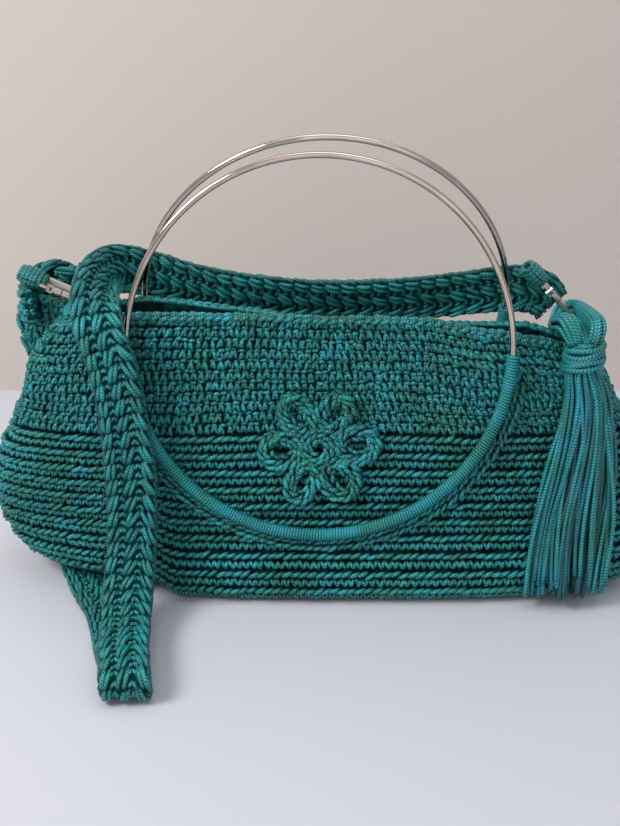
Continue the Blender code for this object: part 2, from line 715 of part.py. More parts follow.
def make_strap(material):
    """The long crocheted band, sewn at each end round the eye of a clasp."""
    centres, acrosses, widths = [], [], []
    for stop in ROUTE:
        z = stop.up * BAG_HEIGHT + stop.lie * (STRAP_THICKNESS / 2)
        centres.append(Vector((stop.along * HALF_LENGTH, stop.across * HALF_DEPTH, z)))
        acrosses.append(Vector((stop.wx, stop.wy, stop.wz)).normalized())
        widths.append(Vector((stop.wide, 0, 0)))
    centres = curve_through(centres, 2)
    for centre in centres:
        centre.z = max(centre.z, STRAP_THICKNESS / 2)
    acrosses = curve_through(acrosses, 2)
    widths = curve_through(widths, 2)
    bm = bmesh.new()
    rings = []
    last = len(centres) - 1
    for i, p in enumerate(centres):
        tangent = (centres[min(i + 1, last)] - centres[max(i - 1, 0)]).normalized()
        across = acrosses[i]
        across = (across - tangent * across.dot(tangent)).normalized()
        normal = tangent.cross(across)
        half_w = STRAP_WIDTH / 2 * widths[i].x
        half_t = STRAP_THICKNESS / 2
        front = [p + across * (half_w * e.side) + normal * (half_t * e.deep) for e in BAND_EDGE]
        back = [p + across * (half_w * e.side) - normal * (half_t * e.deep) for e in BAND_EDGE]
        rings.append(add_ring(bm, front + back[::-1]))
    skin(bm, rings)
    cap(bm, rings[0])
    cap(bm, rings[-1])
    strap = new_object("strap", bm, material)
    for side in ("left", "right"):
        combine(strap, make_eye_cord(side, material), "UNION")
    return strap


def flower_point(x, up, height):
    """A point of the flat flower laid on the dented front panel."""
    z = FLOWER_HEIGHT + up
    return Vector((x, wall_y("front", x, z) - PANEL_GAP - height, z))


def make_flower(material):
    """Six open petals of thick cord round a disc, crocheted in one piece."""
    bm = bmesh.new()
    rings = []
    for radius, height in ((0.55, 0.0), (1.0, 0.0), (1.0, 0.0026), (0.72, 0.0042), (0.3, 0.0034)):
        ring = []
        for k in range(12):
            a = 2 * math.pi * k / 12
            r = FLOWER_EYE_RADIUS * radius
            ring.append(flower_point(r * math.cos(a), r * math.sin(a), height))
        rings.append(add_ring(bm, ring))
    skin(bm, rings)
    cap(bm, rings[0])
    cap(bm, rings[-1])
    flower = new_object("flower", bm, material)
    for petal in range(PETAL_COUNT):
        turn = 2 * math.pi * petal / PETAL_COUNT + FLOWER_TURN
        c, s = math.cos(turn), math.sin(turn)
        bm = bmesh.new()
        rings = []
        steps = 14
        for i in range(steps):
            a = 2 * math.pi * i / steps
            ring = []
            for k in range(6):
                b = 2 * math.pi * (k + 0.5) / 6
                along = PETAL_REACH + (PETAL_HALF_LENGTH + PETAL_CORD * math.cos(b)) * math.cos(a)
                aside = (PETAL_HALF_WIDTH + PETAL_CORD * math.cos(b)) * math.sin(a)
                height = PETAL_CORD * (1 + math.sin(b)) + PETAL_STEP * (1 + petal % 2)
                ring.append(flower_point(along * c - aside * s, along * s + aside * c, height))
            rings.append(add_ring(bm, ring))
        skin(bm, rings, closed=True)
        combine(flower, new_object(f"petal_{petal}", bm, material), "UNION")
    return flower


def tassel_centre(hang):
    """Centre of the skirt at a stop: just clear of the front panel."""
    x, z = hang.along * HALF_LENGTH, hang.up * BAG_HEIGHT
    deep = hang.deep * TASSEL_NECK_RADIUS
    return Vector((x, wall_y("front", x, z) - PANEL_GAP - deep - RIB_HEIGHT, z))


def make_tassel(material):
    """The head looped through the hook, and the skirt in locks, fused at the neck."""
    side = "right"
    hold_v = 0.0027
    neck = tassel_centre(HANGS[0]) + Vector((0, 0, BINDING_HEIGHT))
    bm = bmesh.new()
    left_limb = [
        neck + Vector((-0.0046, 0, 0.001)),
        neck + Vector((-0.0085, 0.0050, 0.0100)),
        at_clasp(side, 0.0180, 0.0135, -0.0085),
        at_clasp(side, 0.0184, 0.0070, -0.0068),
        at_clasp(side, 0.0186, 0.0031, -0.0038),
        at_clasp(side, 0.0188, hold_v, 0.0),
        at_clasp(side, 0.0190, 0.0031, 0.0038),
        at_clasp(side, 0.0194, 0.0070, 0.0068),
        at_clasp(side, 0.0200, 0.0135, 0.0085),
        neck + Vector((0.0082, 0.0050, 0.0110)),
        neck + Vector((0.0046, 0, 0.001)),
    ]
    sizes = (0.0036, 0.0058, 0.0040, 0.0023, 0.0018, 0.0018, 0.0018, 0.0023, 0.0040, 0.0054, 0.0036)
    path = curve_through(left_limb, 2)
    thick = curve_through([Vector((r, 0, 0)) for r in sizes], 2)
    tube(bm, path, [(t.x, t.x) for t in thick], 8)
    head = new_object("tassel", bm, material)

    bm = bmesh.new()
    rings = []
    top = [(neck + Vector((0, 0, 0.003)), 0.85, 0.85), (neck, 1.0, 1.0)]
    top.append((tassel_centre(HANGS[0]), HANGS[0].side, HANGS[0].deep))
    rows = top + [(tassel_centre(h), h.side, h.deep) for h in HANGS[1:]]
    sides = TASSEL_LOCKS * 2
    for index, (centre, wide, deep) in enumerate(rows):
        ring = []
        for k in range(sides):
            a = 2 * math.pi * k / sides
            groove = 1 - (LOCK_DEPTH if k % 2 and index > 1 else 0.0)
            x = TASSEL_NECK_RADIUS * wide * math.cos(a) * groove
            y = TASSEL_NECK_RADIUS * deep * math.sin(a) * groove
            ring.append(centre + Vector((x, y, 0)))
        rings.append(add_ring(bm, ring))
    skin(bm, rings)
    cap(bm, rings[0])
    cap(bm, rings[-1])
    combine(head, new_object("tassel_skirt", bm, material), "UNION")
    return head


def make_binding(material):
    """The cord wound round the tassel's neck."""
    neck = tassel_centre(HANGS[0]) + Vector((0, 0, BINDING_HEIGHT))
    foot = tassel_centre(HANGS[0])
    bm = bmesh.new()
    outer, inner = [], []
    sides = 14
    bore = TASSEL_NECK_RADIUS + SEAT_GAP
    for share, swell in ((0.92, 0.7), (0.72, 1.0), (0.5, 0.85), (0.30, 1.0)):
        centre = foot.lerp(neck, share)
        flare = 1 + (HANGS[0].side - 1) * (1 - share)
        for rings, radius in ((outer, bore * flare + BINDING_WALL * swell), (inner, bore * flare)):
            ring = []
            for k in range(sides):
                a = 2 * math.pi * k / sides
                ring.append(centre + Vector((radius * math.cos(a), radius * math.sin(a), 0)))
            rings.append(add_ring(bm, ring))
    skin(bm, outer)
    skin(bm, inner)
    skin(bm, [outer[0], inner[0]])
    skin(bm, [outer[-1], inner[-1]])
    return new_object("tassel_binding", bm, material)


def main():
    for old in list(bpy.data.objects):
        bpy.data.objects.remove(old)
    cord = new_material("teal_cord", (0.010, 0.215, 0.205), 0.48)
    steel = new_material("polished_steel", (0.62, 0.60, 0.57), 0.16, 1.0)
    make_body(cord)
    for side in ("front", "back"):
        make_ring(side, steel)
        make_wrap(side, cord)
    for side in ("left", "right"):
        make_clasp(side, steel)
        make_corner_loop(side, cord)
    make_strap(cord)
    make_flower(cord)
    make_tassel(cord)
    make_binding(cord)


main()
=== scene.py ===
"""Dresses the crocheted handbag: real stitches over the body, the strap and the flower, cord coiled
on the ring handles, a cord tassel, and polished steel. Metres, +Z up, the front panel faces -Y."""

import logging
import math
from collections import namedtuple
from dataclasses import dataclass, field
from enum import Enum
from typing import Callable, Sequence

import bmesh
import bpy
import numpy as np
from mathutils import Matrix, Vector

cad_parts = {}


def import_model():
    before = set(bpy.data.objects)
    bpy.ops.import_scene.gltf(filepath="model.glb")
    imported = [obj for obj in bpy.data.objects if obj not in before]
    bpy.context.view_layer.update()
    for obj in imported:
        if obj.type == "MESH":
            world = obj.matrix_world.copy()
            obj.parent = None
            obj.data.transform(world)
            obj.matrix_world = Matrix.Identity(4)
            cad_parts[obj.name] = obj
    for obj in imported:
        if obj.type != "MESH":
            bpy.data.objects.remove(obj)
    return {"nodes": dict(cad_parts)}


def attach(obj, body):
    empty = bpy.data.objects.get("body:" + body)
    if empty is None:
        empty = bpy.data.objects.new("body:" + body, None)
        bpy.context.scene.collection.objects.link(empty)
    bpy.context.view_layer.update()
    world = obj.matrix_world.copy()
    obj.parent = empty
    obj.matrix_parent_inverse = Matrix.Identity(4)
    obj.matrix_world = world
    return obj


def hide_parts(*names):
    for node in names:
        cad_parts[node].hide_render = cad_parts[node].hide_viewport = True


LOG = logging.getLogger("handbag")
MM = 0.001
SEED = 20

Array = np.ndarray
Input = float | tuple | bpy.types.NodeSocket
Section = namedtuple("Section", "up left right left_square right_square")
Lip = namedtuple("Lip", "along front back")
Stop = namedtuple("Stop", "along across up lie wide wx wy wz")
Hang = namedtuple("Hang", "along up side deep")


class Side(Enum):
    """Which end of the bag, or which of its two handles."""

    LEFT = "left"
    RIGHT = "right"
    FRONT = "front"
    BACK = "back"


class Body(Enum):
    """The body that the new pieces ride on."""

    BAG = "bag"


# Small numeric helpers


def smooth(t: float) -> float:
    """Smooth step from 0 to 1."""
    t = min(1.0, max(0.0, t))
    return t * t * (3 - 2 * t)


def lerp(a: float, b: float, t: float) -> float:
    """The value a share t of the way from a to b."""
    return a + (b - a) * t


def read_table(rows: Sequence, key: str, at: float) -> tuple:
    """Reads a named table at a value, blended between its rows.

    Args:
        rows: The table, sorted by its key column.
        key: Name of the column to look in.
        at: The value to look for.

    Returns:
        A row of the same kind.
    """
    names = rows[0]._fields
    if at <= getattr(rows[0], key):
        return rows[0]
    for low, high in zip(rows, rows[1:]):
        a, b = getattr(low, key), getattr(high, key)
        if at <= b:
            t = smooth((at - a) / (b - a)) * 0.5 + (at - a) / (b - a) * 0.5
            return type(low)(*(lerp(getattr(low, n), getattr(high, n), t) for n in names))
    return rows[-1]


def curve_through(points: Array, steps: int) -> Array:
    """A smooth curve through points.

    Args:
        points: Points in order, one per row.
        steps: Steps from each point to the next.

    Returns:
        The curve's points, one per row.
    """
    p = np.asarray(points, float)
    out = []
    last = len(p) - 1
    for i in range(last):
        p0, p1, p2, p3 = p[max(i - 1, 0)], p[i], p[i + 1], p[min(i + 2, last)]
        for k in range(steps):
            t = k / steps
            out.append(
                0.5 * (2 * p1 + (p2 - p0) * t + (2 * p0 - 5 * p1 + 4 * p2 - p3) * t * t)
                + 0.5 * (3 * p1 - p0 - 3 * p2 + p3) * t**3
            )
    out.append(p[last])
    return np.array(out)


def unit(v: Array) -> Array:
    """Each row scaled to length 1."""
    return v / np.maximum(np.linalg.norm(v, axis=-1, keepdims=True), 1e-9)


# The shape that the solids have


@dataclass
class BagShape:
    """The soft body's surface, as the solid has it."""

    length: float = 0.376
    depth: float = 0.106
    height: float = 0.157
    wall: float = 0.0045
    rib_top: float = 0.097
    rib_pitch: float = 0.0093
    rib_height: float = 0.0018
    dent_depth: float = 0.0055
    mouth_bow: float = 0.010
    strap_lift: float = 0.0088
    lift_start: float = 0.078
    lift_run: float = 0.016
    ring_radius: float = 0.100
    wrap_radius: float = 0.0034
    panel_gap: float = 0.0007
    front_centre: tuple = (0.0, -0.036, 0.1405)
    back_centre: tuple = (0.00375, 0.0118, 0.1525)
    front_lean: float = math.radians(6.2)
    back_lean: float = math.radians(-18.0)
    sections: tuple = (
        Section(0.00, 0.86, 0.90, 2.3, 3.6),
        Section(0.03, 0.90, 0.94, 2.3, 3.8),
        Section(0.09, 0.95, 0.98, 2.4, 4.2),
        Section(0.20, 0.99, 1.00, 2.6, 4.4),
        Section(0.33, 0.99, 1.00, 2.8, 4.2),
        Section(0.48, 0.96, 0.98, 3.2, 4.0),
        Section(0.62, 0.90, 0.92, 3.6, 4.0),
        Section(0.74, 0.86, 0.865, 3.6, 3.8),
        Section(0.86, 0.835, 0.835, 3.6, 3.6),
        Section(0.95, 0.785, 0.775, 3.5, 3.5),
        Section(1.00, 0.740, 0.735, 3.5, 3.5),
    )
    lips: tuple = (
        Lip(-1.00, 0.930, 0.930),
        Lip(-0.74, 0.970, 0.970),
        Lip(-0.62, 0.995, 0.995),
        Lip(-0.50, 1.015, 1.015),
        Lip(-0.20, 1.003, 0.985),
        Lip(0.05, 0.992, 0.945),
        Lip(0.30, 0.990, 0.930),
        Lip(0.47, 0.955, 0.925),
        Lip(0.60, 0.930, 0.925),
        Lip(0.735, 0.885, 0.885),
        Lip(1.00, 0.840, 0.840),
    )

    def ring_centre(self, side: Side) -> tuple:
        """Centre of a ring handle."""
        return self.front_centre if side is Side.FRONT else self.back_centre

    def ring_lean(self, side: Side) -> float:
        """How far a ring handle leans back."""
        return self.front_lean if side is Side.FRONT else self.back_lean

    def panel_line(self, side: Side, z: float) -> float:
        """Y of a panel's crest at mid length.

        Args:
            side: The front or the back.
            z: Height on the even body.

        Returns:
            The place in metres.
        """
        out = 1 if side is Side.BACK else -1
        centre = self.ring_centre(side)
        lean = self.ring_lean(side)
        plane = centre[1] + (z - centre[2]) * math.tan(lean)
        seated = plane - out * (self.wrap_radius + self.panel_gap)
        low = centre[2] - self.ring_radius * math.cos(lean) - self.wrap_radius
        share = smooth((low - z) / (low * 0.8))
        edge = min(1.0, z / (0.10 * self.height))
        rounded = math.sqrt(max(0.0, 1 - (1 - edge) ** 2))
        return lerp(seated, out * self.depth / 2, share) * lerp(0.88, 1.0, rounded)

    def lip_height(self, side: Side, x: float) -> float:
        """Height of the mouth's edge at a place along one side."""
        return self.height * getattr(read_table(self.lips, "along", x / (self.length / 2)), side.value)

    def base_lift(self, x: float) -> float:
        """How far the strap below holds up the base at the left end."""
        return self.strap_lift * smooth((-x - self.lift_start) / self.lift_run)

    def settled(self, side: Side, x: float, z: float) -> float:
        """A height of the even body, moved to its sagging mouth and its lifted end.

        Args:
            side: The front or the back.
            x: Place along the bag.
            z: Height on the even body.

        Returns:
            The height in metres.
        """
        if z > self.rib_top:
            share = (self.lip_height(side, x) - self.rib_top) / (self.height - self.rib_top)
            z = self.rib_top + (z - self.rib_top) * share
        return z + self.base_lift(x) * (1 - smooth(z / self.rib_top))

    def half_plan(self, z: float) -> tuple:
        """Reach left and right, front and back Y and the two squarenesses at a height.

        Args:
            z: Height on the even body.

        Returns:
            The six values, in metres but for the last two.
        """
        row = read_table(self.sections, "up", z / self.height)
        half = self.length / 2
        return (
            half * row.left,
            half * row.right,
            self.panel_line(Side.FRONT, z),
            self.panel_line(Side.BACK, z),
            row.left_square,
            row.right_square,
        )

    def dent(self, x: float, z: float) -> float:
        """How far the front panel sinks inside its ring.

        Args:
            x: Place along the bag.
            z: Height on the even body.

        Returns:
            The depth in metres.
        """
        cx, _, cz = self.front_centre
        r = math.hypot(x - cx, (z - cz) / math.cos(self.front_lean))
        return self.dent_depth * smooth(1.6 * (1 - r / (self.ring_radius - 2 * self.wrap_radius)))

    def bow(self, x: float, z: float) -> float:
        """How far the back panel leans in at the middle of the mouth."""
        near = math.cos(min(1.0, abs(x) / (0.3 * self.length)) * math.pi / 2) ** 2
        return self.mouth_bow * near * smooth((z - self.rib_top) / (self.height - self.rib_top))

    def wall_y(self, side: Side, x: float, z: float) -> float:
        """Y of the front or back wall at a place.

        Args:
            side: The front or the back.
            x: Place along the bag.
            z: Height on the even body.

        Returns:
            The place in metres.
        """
        left, right, front, back, square_l, square_r = self.half_plan(z)
        reach, square = (left, square_l) if x < 0 else (right, square_r)
        middle, half = (front + back) / 2, (back - front) / 2
        share = (1 - min(1.0, abs(x) / reach) ** square) ** (1 / square)
        if side is Side.FRONT:
            return middle - half * share + self.dent(x, z)
        return middle + half * share - self.bow(x, z)

    def plan_loop(self, z: float, out: float = 0.0, count: int = 240) -> Array:
        """One closed outline of the body, evenly spaced along itself.

        Args:
            z: Height on the even body.
            out: How far outside the surface the outline runs.
            count: Number of points.

        Returns:
            The points, one per row, anticlockwise from above.
        """
        left, right, front, back, square_l, square_r = self.half_plan(z)
        middle, half = (front + back) / 2, (back - front) / 2
        dense = []
        for i in range(360):
            a = 2 * math.pi * i / 360
            c, s = math.cos(a), math.sin(a)
            square = square_l if c < 0 else square_r
            reach = (left if c < 0 else right) + out
            x = math.copysign(abs(c) ** (2 / square), c) * reach
            y = middle + math.copysign(abs(s) ** (2 / square), s) * (half + out)
            y += self.dent(x, z) if s < 0 else -self.bow(x, z)
            dense.append((x, y))
        ring = np.array(dense + dense[:1])
        run = np.concatenate([[0], np.cumsum(np.linalg.norm(np.diff(ring, axis=0), axis=1))])
        want = run[-1] * np.arange(count) / count
        x, y = np.interp(want, run, ring[:, 0]), np.interp(want, run, ring[:, 1])
        turned = [Side.BACK if w < run[180] else Side.FRONT for w in want]
        z_out = np.array([self.settled(side, px, z) for side, px in zip(turned, x)])
        return np.stack([x, y, z_out], axis=1)


@dataclass
class Track:
    """A line with an up direction and an outward direction at each point, to lay stitches along."""

    points: Array
    ups: Array
    outs: Array
    closed: bool = False
    run: Array = field(init=False)

    def __post_init__(self) -> None:
        """Measures the line's length up to each point."""
        steps = np.linalg.norm(np.diff(self.points, axis=0), axis=1)
        self.run = np.concatenate([[0], np.cumsum(steps)])

    @property
    def length(self) -> float:
        """The line's whole length."""
        return float(self.run[-1])

    def place(self, local: Array) -> tuple:
        """Lays local points on the line.

        Args:
            local: Distances along, up and out in the last axis.

        Returns:
            The points in space, and the outward direction at each.
        """
        s = local[..., 0]
        if self.closed:
            s = np.mod(s, self.length)
        columns = []
        for source in (self.points, self.ups, self.outs):
            columns.append(np.stack([np.interp(s, self.run, source[:, i]) for i in range(3)], -1))
        where, up, out = columns[0], unit(columns[1]), unit(columns[2])
        return where + up * local[..., 1:2] + out * local[..., 2:3], out


def bag_track(shape: BagShape, z: float, out: float = 0.0) -> Track:
    """The line of one row of stitches round the body.

    Args:
        shape: The body's surface.
        z: Height on the even body.
        out: How far outside the surface the line runs.

    Returns:
        The closed line.
    """
    loop = shape.plan_loop(z, out)
    above = shape.plan_loop(z + 0.003, out)
    ups = unit(above - loop)
    along = unit(np.roll(loop, -1, axis=0) - np.roll(loop, 1, axis=0))
    outs = unit(np.cross(along, ups))
    close = [np.concatenate([a, a[:1]]) for a in (loop, ups, outs)]
    return Track(*close, closed=True)


# Cords bent from one modelled cylinder


class CordTemplate:
    """A capped round bar, modelled once, that is bent along any number of paths."""

    def __init__(self, stations: int, sides: int) -> None:
        """Models the bar.

        Args:
            stations: Rings of vertices along it.
            sides: Sides round it.
        """
        bm = bmesh.new()
        bmesh.ops.create_cone(
            bm, cap_ends=True, segments=sides, radius1=1.0, radius2=1.0, depth=1.0
        )
        long_edges = [e for e in bm.edges if abs(e.verts[0].co.z - e.verts[1].co.z) > 0.5]
        bmesh.ops.subdivide_edges(bm, edges=long_edges, cuts=stations - 2, use_grid_fill=True)
        bm.verts.index_update()
        co = np.array([v.co[:] for v in bm.verts])
        self.station = np.rint((co[:, 2] + 0.5) * (stations - 1)).astype(int)
        self.angle = np.arctan2(co[:, 1], co[:, 0])
        self.loops: list = []
        self.starts: list = []
        self.turn: list = []
        for face in bm.faces:
            self.starts.append(len(self.loops))
            turns = [float(self.angle[v.index]) / (2 * math.pi) % 1.0 for v in face.verts]
            wraps = max(turns) - min(turns) > 0.5 and len(face.verts) == 4
            for vert, t in zip(face.verts, turns):
                self.loops.append(vert.index)
                self.turn.append(t + 1.0 if wraps and t < 0.5 else t)
        bm.free()

    def bend(self, paths: Array, radii: Array, outs: Array, light: Array | float = 1.0) -> dict:
        """Bends a copy of the bar along each path.

        Args:
            paths: Centre lines, as paths by stations by 3.
            radii: Radius at each station, or at each path and station.
            outs: A direction square to each path, as paths by stations by 3.
            light: How open to the light each station is, from 0 to 1; the cord finishes paint low openness in
                as shade.

        Returns:
            Vertices, loops, face starts, coordinates along the cord and openness to the light.
        """
        paths = np.asarray(paths, float)
        count = len(paths)
        along = unit(np.gradient(paths, axis=1))
        first = unit(outs - along * np.sum(outs * along, axis=-1, keepdims=True))
        second = np.cross(along, first)
        radii = np.broadcast_to(radii, paths.shape[:2])
        st, c, s = self.station, np.cos(self.angle), np.sin(self.angle)
        spread = first[:, st] * c[None, :, None] + second[:, st] * s[None, :, None]
        verts = paths[:, st] + spread * radii[:, st, None]
        steps = np.linalg.norm(np.diff(paths, axis=1), axis=2)
        run = np.concatenate([np.zeros((count, 1)), np.cumsum(steps, axis=1)], axis=1)
        loops = np.array(self.loops)
        n, shift = len(st), np.arange(count)[:, None]
        u = np.broadcast_to(np.array(self.turn), (count, len(loops)))
        v = run[:, st][:, loops] + (shift * 0.37) % 1.0
        return {
            "verts": verts.reshape(-1, 3),
            "loops": (loops[None, :] + shift * n).ravel(),
            "starts": (np.array(self.starts)[None, :] + shift * len(loops)).ravel(),
            "uv": np.stack([u, v], axis=-1).reshape(-1, 2),
            "light": np.broadcast_to(light, paths.shape[:2])[:, st].reshape(-1),
        }


class CordPile:
    """Gathers bent cords into one mesh."""

    def __init__(self, name: str) -> None:
        """Starts an empty pile under the piece's name."""
        self.name = name
        self.parts: list = []

    def add(self, part: dict) -> None:
        """Adds a batch of bent cords."""
        self.parts.append(part)

    def build(self, material: bpy.types.Material, body: Body, slot: str = "cord") -> bpy.types.Object:
        """Makes the joined mesh and puts it in the scene.

        Args:
            material: The finish of the whole pile.
            body: The body that it rides on.
            slot: Not used.

        Returns:
            The finished piece.
        """
        verts, loops, starts, uv, light = [], [], [], [], []
        base_v = base_l = 0
        for part in self.parts:
            verts.append(part["verts"])
            loops.append(part["loops"] + base_v)
            starts.append(part["starts"] + base_l)
            uv.append(part["uv"])
            light.append(part["light"])
            base_v += len(part["verts"])
            base_l += len(part["loops"])
        mesh = bpy.data.meshes.new(self.name)
        mesh.vertices.add(base_v)
        mesh.vertices.foreach_set("co", np.concatenate(verts).astype(np.float32).ravel())
        mesh.loops.add(base_l)
        mesh.loops.foreach_set("vertex_index", np.concatenate(loops).astype(np.int32))
        all_starts = np.concatenate(starts).astype(np.int32)
        mesh.polygons.add(len(all_starts))
        mesh.polygons.foreach_set("loop_start", all_starts)
        layer = mesh.uv_layers.new(name="UVMap")
        layer.data.foreach_set("uv", np.concatenate(uv).astype(np.float32).ravel())
        # The openness attribute carries painted shade: the cord finishes darken the colour where it is low.
        openness = mesh.attributes.new("openness", "FLOAT", "POINT")
        openness.data.foreach_set("value", np.concatenate(light).astype(np.float32))
        mesh.update(calc_edges=True)
        mesh.validate()
        mesh.shade_smooth()
        mesh.materials.append(material)
        piece = bpy.data.objects.new(self.name, mesh)
        bpy.context.scene.collection.objects.link(piece)
        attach(piece, body.value)
        report(piece)
        return piece


def report(piece: bpy.types.Object) -> None:
    """Logs a finished piece and its count of triangles."""
    triangles = sum(len(p.vertices) - 2 for p in piece.data.polygons)
    LOG.info("%s: %d triangles", piece.name, triangles)


@dataclass(frozen=True)
class Stroke:
    """One visible strand of a stitch, as points along, up and out in millimetres."""

    points: tuple
    radius: float
    taper: float = 0.45

    def local(self, stations: int) -> Array:
        """The strand's centre line in metres, at evenly spaced stations.

        Args:
            stations: How many stations.

        Returns:
            One point a row: along, up and out.
        """
        curve = curve_through(np.array(self.points) * MM, 6)
        run = np.concatenate([[0], np.cumsum(np.linalg.norm(np.diff(curve, axis=0), axis=1))])
        want = np.linspace(0, run[-1], stations)
        return np.stack([np.interp(want, run, curve[:, i]) for i in range(3)], -1)

    def radii(self, stations: int) -> Array:
        """Radius at each station: full in the middle, less at both ends."""
        t = np.linspace(-1, 1, stations)
        return self.radius * MM * (self.taper + (1 - self.taper) * np.sqrt(1 - (0.98 * t) ** 2))


class Stitcher:
    """Lays strokes at a pitch along tracks, with the small unevenness of handwork."""

    def __init__(self, stations: int = 5, sides: int = 6) -> None:
        """Sets up the strand's template and a seeded random source.

        Args:
            stations: Rings of vertices along a strand.
            sides: Sides round it.
        """
        self.template = CordTemplate(stations, sides)
        self.stations = stations
        self.random = np.random.default_rng(SEED)

    def row(
        self,
        pile: CordPile,
        track: Track,
        strokes: Sequence[Stroke],
        pitch: float,
        start: float = 0.0,
        widen: Callable[[Array], Array] | None = None,
        rough: float = 0.22,
    ) -> None:
        """Lays one row of stitches.

        Args:
            pile: Where the strands go.
            track: The line that the row follows.
            strokes: The strands of one stitch.
            pitch: Distance from a stitch to the next, in metres.
            start: Share of a stitch that the row starts at.
            widen: Scale of the up distance from each stitch's distance along.
            rough: Unevenness in millimetres.
        """
        count = max(1, int(round(track.length / pitch)))
        step = track.length / count
        if not track.closed:
            count -= 1
        along = (np.arange(count) + 0.5 + start) * step
        for stroke in strokes:
            local = np.repeat(stroke.local(self.stations)[None], len(along), axis=0)
            local[..., 0] *= step / pitch
            jitter = self.random.normal(0, rough * MM, (len(along), 1, 3))
            local = local + jitter
            tilt = self.random.normal(0, 0.10, (len(along), 1))
            local[..., 1] += tilt * local[..., 0]
            if widen is not None:
                local[..., 1] *= widen(along)[:, None]
            local[..., 0] += along[:, None]
            paths, outs = track.place(local)
            swell = self.random.normal(1.0, 0.05, (len(along), 1))
            radii = stroke.radii(self.stations)[None] * swell
            # Painted shade: openness falls as the strand sinks deeper among its neighbours, and each stitch
            # is also dimmed by a random share for uneven tone; the cord finishes darken the colour by it.
            deep = local[..., 2] - 0.4 * radii
            low, high = deep.min(), deep.max()
            light = 0.25 + 0.75 * (deep - low) / max(high - low, 1e-6)
            light = light * self.random.uniform(0.78, 1.0, (len(along), 1))
            pile.add(self.template.bend(paths, radii, outs, light))


# Finishes


def socket(
    group: bpy.types.NodeTree, name: str, kind: str, way: str, value: float | None = None
) -> bpy.types.NodeTreeInterfaceSocket:
    """Makes a named socket on a node group.

    Args:
        group: The group.
        name: The socket's name.
        kind: Float, Color or Vector.
        way: INPUT or OUTPUT.
        value: Default of a number.

    Returns:
        The new socket.
    """
    made = group.interface.new_socket(name, in_out=way, socket_type=f"NodeSocket{kind}")
    if value is not None:
        made.default_value = value
    return made


class Wiring:
    """Short ways to add and join nodes in one tree."""

    def __init__(self, tree: bpy.types.NodeTree) -> None:
        """Holds the tree."""
        self.tree = tree

    def add(self, kind: str, **values: object) -> bpy.types.Node:
        """Adds a node of a kind and sets its properties.

        Args:
            kind: The node's type, without its first word.
            **values: Properties to set.

        Returns:
            The node.
        """
        node = self.tree.nodes.new(f"ShaderNode{kind}")
        for name, value in values.items():
            setattr(node, name, value)
        return node

    def link(self, source: bpy.types.NodeSocket, target: bpy.types.NodeSocket) -> None:
        """Joins an output to an input."""
        self.tree.links.new(source, target)

    def math(self, operation: str, *values: Input) -> bpy.types.NodeSocket:
        """Adds a Math node on sockets or numbers and returns its output.

        Args:
            operation: What it works out.
            *values: What goes in.

        Returns:
            Its output.
        """
        node = self.add("Math", operation=operation)
        for place, value in zip(node.inputs, values):
            if isinstance(value, (int, float)):
                place.default_value = value
            else:
                self.link(value, place)
        return node.outputs[0]

    def mix(self, factor: Input, first: Input, second: Input, blend: str = "MIX") -> bpy.types.NodeSocket:
        """Adds a colour mix and returns its output.

        Args:
            factor: Share of the second.
            first: First colour.
            second: Second colour.
            blend: How they are mixed.

        Returns:
            Its output.
        """
        node = self.add("Mix", data_type="RGBA", blend_type=blend)
        for index, value in ((0, factor), (6, first), (7, second)):
            place = node.inputs[index]
            if isinstance(value, (int, float, tuple)):
                place.default_value = value
            else:
                self.link(value, place)
        return node.outputs[2]


